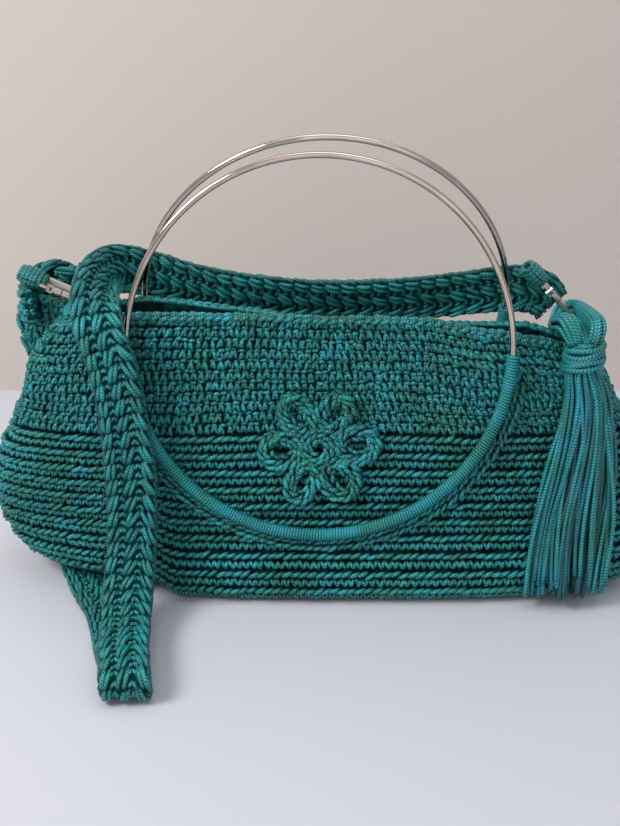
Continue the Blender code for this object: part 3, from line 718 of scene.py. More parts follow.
class Groups:
    """The shader groups that the finishes share, each built once."""

    made: dict = {}

    @classmethod
    def braid(cls) -> bpy.types.NodeTree:
        """The tubular braid of the cord: small chevrons along it with painted highlights on their ridges and
        painted shade in their grooves, worn and dusty patches, and painted shade where a strand lies deep
        among the others.

        Returns:
            The group.
        """
        if "braid" in cls.made:
            return cls.made["braid"]
        group = bpy.data.node_groups.new("cord_braid", "ShaderNodeTree")
        socket(group, "UV", "Vector", "INPUT")
        socket(group, "Place", "Vector", "INPUT")
        socket(group, "Light", "Color", "INPUT")
        socket(group, "Dark", "Color", "INPUT")
        socket(group, "Columns", "Float", "INPUT", 5.0)
        socket(group, "Pitch", "Float", "INPUT", 0.0011)
        socket(group, "Variation", "Float", "INPUT", 0.5)
        socket(group, "Openness", "Float", "INPUT", 1.0)
        socket(group, "Tint", "Float", "INPUT", 1.0)
        socket(group, "Color", "Color", "OUTPUT")
        socket(group, "Roughness", "Float", "OUTPUT")
        socket(group, "Height", "Float", "OUTPUT")
        w = Wiring(group)
        enter, leave = group.nodes.new("NodeGroupInput"), group.nodes.new("NodeGroupOutput")
        split = w.add("SeparateXYZ")
        w.link(enter.outputs["UV"], split.inputs[0])
        column = w.math("FRACT", w.math("MULTIPLY", split.outputs[0], enter.outputs["Columns"]))
        side = w.math("ABSOLUTE", w.math("SUBTRACT", column, 0.5))
        phase = w.math("DIVIDE", split.outputs[1], enter.outputs["Pitch"])
        slanted = w.math("ADD", phase, w.math("MULTIPLY", side, 1.3))
        wave = w.math("SINE", w.math("MULTIPLY", slanted, 2 * math.pi))
        valley = w.math("MULTIPLY", w.math("SUBTRACT", 0.5, side), 1.0)
        ridge = w.math("ADD", w.math("MULTIPLY", wave, 0.5), 0.5)
        height = w.math("ADD", w.math("MULTIPLY", ridge, 0.7), valley)
        noise = w.add("TexNoise")
        noise.inputs["Scale"].default_value = 26.0
        noise.inputs["Detail"].default_value = 4.0
        w.link(enter.outputs["Place"], noise.inputs["Vector"])
        fine = w.add("TexNoise")
        fine.inputs["Scale"].default_value = 900.0
        fine.inputs["Detail"].default_value = 2.0
        w.link(enter.outputs["Place"], fine.inputs["Vector"])
        patch = w.math("MULTIPLY", w.math("SUBTRACT", noise.outputs[0], 0.5), enter.outputs["Variation"])
        # Painted highlights: the lit colour only on the braid's ridges and in fine glints, the grooves
        # falling to the shaded colour.
        painted_ridge_highlight = w.math("MULTIPLY", w.math("POWER", ridge, 2.0), 0.86)
        glow = w.math("ADD", painted_ridge_highlight, w.math("MULTIPLY", fine.outputs[0], 0.24))
        level = w.math("ADD", glow, patch)
        clear = w.add("Clamp")
        w.link(level, clear.inputs[0])
        hue = w.add("TexNoise")
        hue.inputs["Scale"].default_value = 70.0
        w.link(enter.outputs["Place"], hue.inputs["Vector"])
        spread = w.math("MULTIPLY", w.math("SUBTRACT", hue.outputs[0], 0.5), 2.6)
        turned = w.math("ADD", w.math("MULTIPLY", spread, enter.outputs["Tint"]), 0.5)
        tint = w.mix(turned, (0.55, 0.74, 0.46, 1), (1.25, 1.16, 1.50, 1))
        # Lit and shaded copies of the one teal, mixed by the painted highlight level.
        lit = w.mix(1.0, enter.outputs["Light"], tint, "MULTIPLY")
        colour = w.mix(clear.outputs[0], enter.outputs["Dark"], lit)
        # Painted shade: the colour falls towards near-black where a strand lies deep among its neighbours
        # (low openness).
        seen = w.math("POWER", enter.outputs["Openness"], 1.5)
        shaded = w.mix(seen, (0.0, 0.010, 0.012, 1), colour)
        w.link(shaded, leave.inputs["Color"])
        w.link(w.math("ADD", w.math("MULTIPLY", fine.outputs[0], 0.25), 0.24), leave.inputs["Roughness"])
        w.link(height, leave.inputs["Height"])
        cls.made["braid"] = group
        return group

    @classmethod
    def wear(cls) -> bpy.types.NodeTree:
        """The surface of handled metal: fine scratches, smudges and a little unevenness.

        Returns:
            The group.
        """
        if "wear" in cls.made:
            return cls.made["wear"]
        group = bpy.data.node_groups.new("metal_wear", "ShaderNodeTree")
        socket(group, "Place", "Vector", "INPUT")
        socket(group, "Bright", "Color", "INPUT")
        socket(group, "Dull", "Color", "INPUT")
        socket(group, "Smooth", "Float", "INPUT", 0.1)
        socket(group, "Color", "Color", "OUTPUT")
        socket(group, "Roughness", "Float", "OUTPUT")
        socket(group, "Height", "Float", "OUTPUT")
        w = Wiring(group)
        enter, leave = group.nodes.new("NodeGroupInput"), group.nodes.new("NodeGroupOutput")
        smudge = w.add("TexNoise")
        smudge.inputs["Scale"].default_value = 60.0
        smudge.inputs["Detail"].default_value = 5.0
        w.link(enter.outputs["Place"], smudge.inputs["Vector"])
        stretch = w.add("Mapping")
        stretch.inputs["Scale"].default_value = (2200.0, 2200.0, 90.0)
        w.link(enter.outputs["Place"], stretch.inputs["Vector"])
        scratch = w.add("TexNoise")
        scratch.inputs["Scale"].default_value = 1.0
        scratch.inputs["Detail"].default_value = 3.0
        w.link(stretch.outputs[0], scratch.inputs["Vector"])
        colour = w.mix(smudge.outputs[0], enter.outputs["Bright"], enter.outputs["Dull"])
        w.link(colour, leave.inputs["Color"])
        smudged = w.math("MULTIPLY", smudge.outputs[0], 0.08)
        dull = w.math("ADD", smudged, w.math("MULTIPLY", scratch.outputs[0], 0.05))
        w.link(w.math("ADD", dull, enter.outputs["Smooth"]), leave.inputs["Roughness"])
        w.link(scratch.outputs[0], leave.inputs["Height"])
        cls.made["wear"] = group
        return group


    @classmethod
    def knots(cls) -> bpy.types.NodeTree:
        """Cord seen in the shade between stitches: rounded knots under fine grain.

        Returns:
            The group.
        """
        if "knots" in cls.made:
            return cls.made["knots"]
        group = bpy.data.node_groups.new("shaded_knots", "ShaderNodeTree")
        socket(group, "Place", "Vector", "INPUT")
        socket(group, "Light", "Color", "INPUT")
        socket(group, "Dark", "Color", "INPUT")
        socket(group, "Knot", "Float", "INPUT", 210.0)
        socket(group, "Color", "Color", "OUTPUT")
        socket(group, "Roughness", "Float", "OUTPUT")
        socket(group, "Height", "Float", "OUTPUT")
        w = Wiring(group)
        enter, leave = group.nodes.new("NodeGroupInput"), group.nodes.new("NodeGroupOutput")
        knots = w.add("TexVoronoi", feature="SMOOTH_F1")
        w.link(enter.outputs["Knot"], knots.inputs["Scale"])
        w.link(enter.outputs["Place"], knots.inputs["Vector"])
        near = w.math("SUBTRACT", 1.0, w.math("MULTIPLY", knots.outputs["Distance"], 1.5))
        fine = w.add("TexNoise")
        fine.inputs["Scale"].default_value = 1300.0
        w.link(enter.outputs["Place"], fine.inputs["Vector"])
        # Painted shading: each knot is lighter at its middle and darker towards its edge.
        w.link(w.mix(near, enter.outputs["Dark"], enter.outputs["Light"]), leave.inputs["Color"])
        w.link(w.math("ADD", w.math("MULTIPLY", fine.outputs[0], 0.2), 0.8), leave.inputs["Roughness"])
        w.link(w.math("ADD", near, w.math("MULTIPLY", fine.outputs[0], 0.2)), leave.inputs["Height"])
        cls.made["knots"] = group
        return group

    @classmethod
    def cloud(cls) -> bpy.types.NodeTree:
        """The slight, broad cloudiness of a painted or papered studio surface.

        Returns:
            The group.
        """
        if "cloud" in cls.made:
            return cls.made["cloud"]
        group = bpy.data.node_groups.new("studio_cloud", "ShaderNodeTree")
        socket(group, "Place", "Vector", "INPUT")
        socket(group, "Plain", "Color", "INPUT")
        socket(group, "Cloud", "Color", "INPUT")
        socket(group, "Color", "Color", "OUTPUT")
        w = Wiring(group)
        enter, leave = group.nodes.new("NodeGroupInput"), group.nodes.new("NodeGroupOutput")
        noise = w.add("TexNoise")
        noise.inputs["Scale"].default_value = 2.5
        w.link(enter.outputs["Place"], noise.inputs["Vector"])
        w.link(w.mix(noise.outputs[0], enter.outputs["Plain"], enter.outputs["Cloud"]), leave.inputs["Color"])
        cls.made["cloud"] = group
        return group


def empty_material(name: str) -> tuple:
    """A new material with its shader and wiring.

    Args:
        name: The finish's name.

    Returns:
        The material, its shader and the wiring of its tree.
    """
    material = bpy.data.materials.new(name)
    material.use_nodes = True
    shader = material.node_tree.nodes["Principled BSDF"]
    return material, shader, Wiring(material.node_tree)


@dataclass(frozen=True)
class CordFinish:
    """The shiny braided polyester cord."""

    name: str
    # The lit and the shaded colour of the one teal cord, which the braid mixes as painted highlight and
    # painted shade.
    light: tuple = (0.017, 0.610, 0.588)
    dark: tuple = (0.000, 0.036, 0.041)
    columns: float = 4.0
    pitch: float = 0.0014
    relief: float = 0.0003
    variation: float = 0.55
    tint: float = 0.85
    sheen: float = 0.06

    def make(self) -> bpy.types.Material:
        """Builds the material on the cord's own coordinates.

        Returns:
            The material.
        """
        material, shader, w = empty_material(self.name)
        place = w.add("TexCoord")
        braid = w.add("Group", node_tree=Groups.braid())
        w.link(place.outputs["UV"], braid.inputs["UV"])
        w.link(place.outputs["Object"], braid.inputs["Place"])
        braid.inputs["Light"].default_value = (*self.light, 1)
        braid.inputs["Dark"].default_value = (*self.dark, 1)
        braid.inputs["Columns"].default_value = self.columns
        braid.inputs["Pitch"].default_value = self.pitch
        braid.inputs["Variation"].default_value = self.variation
        braid.inputs["Tint"].default_value = self.tint
        openness = w.add("Attribute", attribute_name="openness")
        w.link(openness.outputs["Fac"], braid.inputs["Openness"])
        bump = w.add("Bump")
        bump.inputs["Strength"].default_value = 0.8
        bump.inputs["Distance"].default_value = self.relief
        w.link(braid.outputs["Height"], bump.inputs["Height"])
        w.link(braid.outputs["Color"], shader.inputs["Base Color"])
        w.link(braid.outputs["Roughness"], shader.inputs["Roughness"])
        w.link(bump.outputs[0], shader.inputs["Normal"])
        shader.inputs["Sheen Weight"].default_value = self.sheen
        shader.inputs["Sheen Roughness"].default_value = 0.4
        shader.inputs["Sheen Tint"].default_value = (0.35, 0.85, 0.82, 1)
        shader.inputs["Specular IOR Level"].default_value = 0.5
        return material


@dataclass(frozen=True)
class BackingFinish:
    """The wall between and behind the stitches: deep teal cord in shade, in knots."""

    name: str
    # Painted shade: near-black teal that stands for the shade behind and between the stitches.
    light: tuple = (0.001, 0.034, 0.036)
    dark: tuple = (0.000, 0.004, 0.005)
    knot: float = 210.0

    def make(self) -> bpy.types.Material:
        """Builds the material on the object's own place.

        Returns:
            The material.
        """
        material, shader, w = empty_material(self.name)
        place = w.add("TexCoord")
        knots = w.add("Group", node_tree=Groups.knots())
        w.link(place.outputs["Object"], knots.inputs["Place"])
        knots.inputs["Light"].default_value = (*self.light, 1)
        knots.inputs["Dark"].default_value = (*self.dark, 1)
        knots.inputs["Knot"].default_value = self.knot
        bump = w.add("Bump")
        bump.inputs["Strength"].default_value = 1.0
        bump.inputs["Distance"].default_value = 0.0015
        w.link(knots.outputs["Height"], bump.inputs["Height"])
        w.link(knots.outputs["Color"], shader.inputs["Base Color"])
        w.link(knots.outputs["Roughness"], shader.inputs["Roughness"])
        shader.inputs["Specular IOR Level"].default_value = 0.05
        w.link(bump.outputs[0], shader.inputs["Normal"])
        return material


@dataclass(frozen=True)
class SteelFinish:
    """Polished steel that has been handled."""

    name: str
    bright: tuple = (0.70, 0.60, 0.53)
    dull: tuple = (0.34, 0.27, 0.23)
    smooth: float = 0.02
    scratch: float = 0.00002

    def make(self) -> bpy.types.Material:
        """Builds the material on the object's own place.

        Returns:
            The material.
        """
        material, shader, w = empty_material(self.name)
        place = w.add("TexCoord")
        wear = w.add("Group", node_tree=Groups.wear())
        w.link(place.outputs["Object"], wear.inputs["Place"])
        wear.inputs["Bright"].default_value = (*self.bright, 1)
        wear.inputs["Dull"].default_value = (*self.dull, 1)
        wear.inputs["Smooth"].default_value = self.smooth
        bump = w.add("Bump")
        bump.inputs["Strength"].default_value = 0.3
        bump.inputs["Distance"].default_value = self.scratch
        w.link(wear.outputs["Height"], bump.inputs["Height"])
        w.link(wear.outputs["Color"], shader.inputs["Base Color"])
        w.link(wear.outputs["Roughness"], shader.inputs["Roughness"])
        w.link(bump.outputs[0], shader.inputs["Normal"])
        shader.inputs["Metallic"].default_value = 1.0
        return material


@dataclass(frozen=True)
class PlainFinish:
    """A plain matt studio surface with slight cloudiness, seen from its front only."""

    name: str
    colour: tuple
    cloud: tuple
    roughness: float = 0.6

    def make(self) -> bpy.types.Material:
        """Builds the material on the object's own place.

        Returns:
            The material.
        """
        material, shader, w = empty_material(self.name)
        place = w.add("TexCoord")
        cloud = w.add("Group", node_tree=Groups.cloud())
        w.link(place.outputs["Object"], cloud.inputs["Place"])
        cloud.inputs["Plain"].default_value = (*self.colour, 1)
        cloud.inputs["Cloud"].default_value = (*self.cloud, 1)
        w.link(cloud.outputs["Color"], shader.inputs["Base Color"])
        behind = w.add("NewGeometry")
        w.link(w.math("SUBTRACT", 1.0, behind.outputs["Backfacing"]), shader.inputs["Alpha"])
        shader.inputs["Roughness"].default_value = self.roughness
        return material


@dataclass
class Finishes:
    """Every finish of the object, made once."""

    cord: bpy.types.Material = field(default_factory=lambda: CordFinish("teal_cord").make())
    strap_cord: bpy.types.Material = field(
        default_factory=lambda: CordFinish(
            "strap_cord", columns=4.0, pitch=0.0015, relief=0.0004, variation=0.4, tint=0.35
        ).make()
    )
    wrap_cord: bpy.types.Material = field(
        default_factory=lambda: CordFinish(
            "wrap_cord", light=(0.012, 0.42, 0.43), columns=3.0, pitch=0.0010
        ).make()
    )
    tassel_cord: bpy.types.Material = field(
        default_factory=lambda: CordFinish(
            "tassel_cord", light=(0.022, 0.54, 0.57), dark=(0.000, 0.022, 0.030), columns=3.0,
            pitch=0.0017, relief=0.0003
        ).make()
    )
    backing: bpy.types.Material = field(default_factory=lambda: BackingFinish("shaded_cord").make())
    core: bpy.types.Material = field(
        default_factory=lambda: BackingFinish(
            "strap_shaded_cord", light=(0.002, 0.070, 0.070), dark=(0.000, 0.010, 0.012), knot=330.0
        ).make()
    )
    steel: bpy.types.Material = field(default_factory=lambda: SteelFinish("ring_steel").make())
    clasp: bpy.types.Material = field(
        default_factory=lambda: SteelFinish(
            "clasp_steel", bright=(0.70, 0.63, 0.56), dull=(0.42, 0.35, 0.29), smooth=0.22
        ).make()
    )


def backing_copy(
    node: bpy.types.Object, name: str, shrink: float, material: bpy.types.Material
) -> bpy.types.Object:
    """A copy of a solid drawn in under its surface, which shows between the stitches.

    Args:
        node: The solid.
        name: The new piece's name.
        shrink: How far its surface is drawn in, in metres.
        material: Its finish.

    Returns:
        The new piece, which rides on the bag.
    """
    bm = bmesh.new()
    bm.from_mesh(node.data)
    bmesh.ops.remove_doubles(bm, verts=bm.verts, dist=1e-6)
    bm.normal_update()
    moves = [(v, v.co - v.normal * shrink) for v in bm.verts]
    for vert, co in moves:
        vert.co = co
    mesh = bpy.data.meshes.new(name)
    bm.to_mesh(mesh)
    bm.free()
    mesh.shade_smooth()
    mesh.materials.append(material)
    piece = bpy.data.objects.new(name, mesh)
    bpy.context.scene.collection.objects.link(piece)
    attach(piece, Body.BAG.value)
    report(piece)
    return piece


# The sub-assemblies


@dataclass
class CrochetBody:
    """The soft body: ribbed rows below, plain rows above and a chain along the mouth."""

    shape: BagShape
    stitcher: Stitcher
    leg_stitcher: Stitcher
    finishes: Finishes
    sink: float = 0.0009
    rope_pitch: float = 0.0046
    stitch_pitch: float = 0.0039
    plain_rows: int = 11
    inner_rows: tuple = (0.0012, 0.0065, 0.0120, 0.0175)
    corner_rows: int = 5
    corner_ends: tuple = (-0.1565, -0.1270)
    corner_middle: float = -0.1400
    corner_foot: float = 0.1430
    corner_top: float = 0.1592
    corner_slope: float = 0.25
    corner_faces: tuple = ((-1.0, -0.0072), (1.0, 0.0042))
    rope: tuple = (Stroke(((-3.5, -1.2, -0.6), (-1.2, -0.5, 0.9), (1.2, 0.6, 0.9), (3.5, 1.2, -0.6)), 1.30),)
    vee: tuple = (
        Stroke(((0.2, -2.5, -1.3), (-0.8, -0.4, 0.2), (-1.7, 1.9, -0.5)), 1.15),
        Stroke(((-0.2, -2.5, -1.3), (0.8, -0.4, 0.4), (1.7, 1.9, -0.5)), 1.15),
    )
    stitch: tuple = (
        Stroke(((1.5, -2.3, -0.9), (0.7, 0.0, 0.6), (-0.3, 2.5, -0.3)), 1.15),
        Stroke(((-1.6, -2.3, -0.9), (-0.9, 0.1, 0.3), (-0.2, 2.4, -0.7)), 1.10),
        Stroke(((-1.9, 2.1, -1.0), (0.0, 2.9, 0.3), (1.8, 2.4, -0.9)), 1.05),
    )
    chain: tuple = (
        Stroke(((-3.4, -1.3, -0.5), (-0.8, -1.3, 0.5), (2.6, 0.1, 0.0)), 1.25),
        Stroke(((-3.4, 1.3, -0.5), (-0.8, 1.3, 0.5), (2.6, 0.1, 0.0)), 1.25),
    )

    def build(self, node: bpy.types.Object) -> None:
        """Builds the wall behind the stitches and every row of stitches.

        Args:
            node: The body's solid.
        """
        wall = backing_copy(node, "bag_wall", 0.0015, self.finishes.backing)
        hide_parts(node.name)
        crest = 0.9 * self.shape.rib_pitch
        rows = []
        while crest + 0.5 * self.shape.rib_pitch < self.shape.rib_top + 0.25 * self.shape.rib_pitch:
            rows.append(crest)
            crest += self.shape.rib_pitch
        for part, chosen in (("low", rows[:5]), ("high", rows[5:])):
            pile = CordPile(f"ribbed_rows_{part}")
            for z in chosen:
                track = bag_track(self.shape, z, -self.sink)
                self.stitcher.row(pile, track, self.rope, self.rope_pitch)
                under = bag_track(self.shape, max(0.0038, z - 0.0045), -self.sink - 0.0007)
                self.leg_stitcher.row(pile, under, self.vee, self.stitch_pitch, start=0.5)
            pile.build(self.finishes.cord, Body.BAG)
        self.build_plain(rows[-1] + 0.0052)
        self.build_mouth()
        self.build_corner()

    def build_plain(self, start: float) -> None:
        """Builds the plain rows between the ribs and the mouth.

        Args:
            start: Height of the first row.
        """
        step = (self.shape.height - 0.0035 - start) / (self.plain_rows - 1)
        for part, chosen in (("low", range(0, 6)), ("high", range(6, self.plain_rows))):
            pile = CordPile(f"plain_rows_{part}")
            for i in chosen:
                track = bag_track(self.shape, start + i * step, -self.sink)
                self.leg_stitcher.row(
                    pile, track, self.stitch, self.stitch_pitch, start=0.5 * (i % 2), rough=0.38
                )
            pile.build(self.finishes.cord, Body.BAG)

    def build_corner(self) -> None:
        """Builds the gathered corner of the mouth that stands up under the left hook."""
        pile = CordPile("left_corner_rows")
        left, right = self.corner_ends
        for sign, y in self.corner_faces:
            for i in range(self.corner_rows):
                x = np.linspace(left + 0.0012 * i, right - 0.0016 * i, 12)
                z = self.corner_foot + 0.0036 * i + self.corner_slope * (self.corner_middle - x)
                points = np.stack([x, x * 0 + y + 0.0011 * i * -sign, z], -1)[:: int(-sign)]
                along = unit(np.gradient(points, axis=0))
                facing = np.tile(np.array([0.0, sign, 0.0]), (len(x), 1))
                track = Track(points, unit(np.cross(facing, along)), facing)
                self.leg_stitcher.row(
                    pile, track, self.stitch, self.stitch_pitch, start=0.5 * (i % 2), rough=0.38
                )
        x = np.linspace(left + 0.0050, right - 0.0060, 12)
        z = self.corner_top + self.corner_slope * (self.corner_middle - x)
        ridge = np.stack([x, x * 0 - 0.0015, z], -1)
        along = unit(np.gradient(ridge, axis=0))
        across = np.tile(np.array([0.0, 1.0, 0.0]), (len(x), 1))
        track = Track(ridge, across, unit(np.cross(along, across)))
        self.stitcher.row(pile, track, self.chain, self.rope_pitch)
        pile.build(self.finishes.cord, Body.BAG)

    def build_mouth(self) -> None:
        """Builds the chain of loops that edges the mouth, and the first rows inside it."""
        pile = CordPile("mouth_chain")
        top = bag_track(self.shape, self.shape.height, -0.5 * self.shape.wall)
        lifted = Track(top.points, top.outs, top.ups, closed=True)
        self.stitcher.row(pile, lifted, self.chain, self.rope_pitch)
        outer = bag_track(self.shape, self.shape.height - 0.0012, -self.sink)
        self.stitcher.row(pile, outer, self.rope, self.rope_pitch)
        for drop in self.inner_rows:
            inner = bag_track(self.shape, self.shape.height - drop, 0.0012 - self.shape.wall)
            inner.outs = -inner.outs
            self.leg_stitcher.row(pile, inner, self.vee, self.stitch_pitch, start=0.5)
        pile.build(self.finishes.cord, Body.BAG)


@dataclass
class RingHandle:
    """One steel ring and the cord coiled over its lower half."""

    side: Side
    shape: BagShape
    finishes: Finishes
    stitcher: Stitcher
    coil_pitch: float = 0.00155
    coil_middle: float = 0.00275
    coil_cord: float = 0.00082
    wire: float = 0.0017
    joining: tuple = (
        Stroke(((-3.2, -1.0, -0.3), (-1.1, -0.5, 0.9), (1.1, 0.5, 0.9), (3.2, 1.0, -0.3)), 1.20),
    )

    def place(self) -> Matrix:
        """Turns the ring's own plane into place."""
        turn = Matrix.Rotation(-self.shape.ring_lean(self.side), 4, "X")
        return Matrix.Translation(Vector(self.shape.ring_centre(self.side))) @ turn

    def build(self, ring: bpy.types.Object, wrap: bpy.types.Object) -> None:
        """Finishes the ring and winds the cord on it.

        Args:
            ring: The ring's solid.
            wrap: The wrap's solid.
        """
        self.build_wire(ring)
        turn = np.array(self.place())
        length = math.pi * self.shape.ring_radius
        count = int(length / self.coil_pitch)
        stations = 13
        template = CordTemplate(stations, 5)
        a = -math.pi * (np.arange(count)[:, None] + np.linspace(0, 1, stations)[None]) / count
        b = 2 * math.pi * np.linspace(0, 1, stations)[None] + np.zeros_like(a)
        out = np.stack([np.cos(a), 0 * a, np.sin(a)], -1)
        side = np.array([0.0, 1.0, 0.0])
        spoke = out * np.cos(b)[..., None] + side * np.sin(b)[..., None]
        path = out * self.shape.ring_radius + spoke * self.coil_middle
        world = path @ turn[:3, :3].T + turn[:3, 3]
        spokes = spoke @ turn[:3, :3].T
        pile = CordPile(f"{self.side.value}_ring_coil")
        pile.add(template.bend(world, np.full(stations, self.coil_cord), spokes))
        piece = pile.build(self.finishes.wrap_cord, Body.BAG)
        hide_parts(wrap.name)
        self.build_joining()

    def build_wire(self, ring: bpy.types.Object) -> None:
        """Bends the smooth round wire of the whole ring.

        Args:
            ring: The ring's solid.
        """
        bm = bmesh.new()
        section = Matrix.Translation((self.shape.ring_radius, 0, 0)) @ Matrix.Rotation(math.pi / 2, 4, "X")
        bmesh.ops.create_circle(bm, segments=16, radius=self.wire, matrix=section)
        bmesh.ops.spin(
            bm, geom=bm.verts[:] + bm.edges[:], cent=(0, 0, 0), axis=(0, 0, 1), dvec=(0, 0, 0),
            angle=2 * math.pi, steps=180, use_merge=True,
        )
        bmesh.ops.rotate(bm, verts=bm.verts, cent=(0, 0, 0), matrix=Matrix.Rotation(math.pi / 2, 3, "X"))
        bmesh.ops.transform(bm, verts=bm.verts, matrix=self.place())
        bmesh.ops.recalc_face_normals(bm, faces=bm.faces)
        name = f"{self.side.value}_ring_wire"
        mesh = bpy.data.meshes.new(name)
        bm.to_mesh(mesh)
        bm.free()
        mesh.shade_smooth()
        mesh.materials.append(self.finishes.steel)
        piece = bpy.data.objects.new(name, mesh)
        bpy.context.scene.collection.objects.link(piece)
        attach(piece, Body.BAG.value)
        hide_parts(ring.name)
        report(piece)

    def build_joining(self) -> None:
        """Lays the two rows of loops that join the wrapped ring to its panel."""
        pile = CordPile(f"{self.side.value}_joining_rows")
        sign = -1 if self.side is Side.FRONT else 1
        cx, _, cz = self.shape.ring_centre(self.side)
        lean = math.cos(self.shape.ring_lean(self.side))
        for radius in (self.shape.ring_radius + 0.0058, self.shape.ring_radius + 0.0092):
            angles = np.radians(np.linspace(-172, -8, 120))
            points, outs = [], []
            for a in angles:
                x = cx + radius * math.cos(a)
                z = cz + radius * math.sin(a) * lean
                points.append((x, self.shape.wall_y(self.side, x, z), z + self.shape.base_lift(x) * 0.2))
                outs.append((0, sign, 0))
            points = np.array(points)
            outs = np.array(outs, float)
            along = unit(np.gradient(points, axis=0))
            ups = unit(np.cross(outs, along))
            outs = unit(np.cross(along, ups))
            track = Track(points + outs * 0.0008, ups, outs)
            self.stitcher.row(pile, track, self.joining, 0.0043)
        pile.build(self.finishes.cord, Body.BAG)


def dress(node: bpy.types.Object, material: bpy.types.Material) -> None:
    """Gives a carried-over solid its finish.

    Args:
        node: The solid.
        material: Its finish.
    """
    if node.data.materials:
        for i in range(len(node.data.materials)):
            node.data.materials[i] = material
    else:
        node.data.materials.append(material)
    for slot in node.material_slots:
        slot.material = material
    report(node)


@dataclass
class Clasp:
    """The place of a spring clasp, which the cords through it follow."""

    y: float
    tip: tuple
    slope: float
    eye_bar: float = 0.0102
    reach: float = 0.0262

    def at(self, u: float, v: float, rise: float) -> Array:
        """A point by the clasp: along, across to the camera side, and up from its plane.

        Args:
            u: Along it, from the eye to the tip.
            v: Towards the front.
            rise: Up from its plane.

        Returns:
            The point.
        """
        c, s = math.cos(self.slope), math.sin(self.slope)
        along = np.array([c, 0.0, -s])
        down = np.array([-s, 0.0, -c])
        origin = np.array([self.tip[0], self.y, self.tip[1]]) - along * self.reach
        return origin + along * u + np.array([0.0, -1.0, 0.0]) * v - down * rise


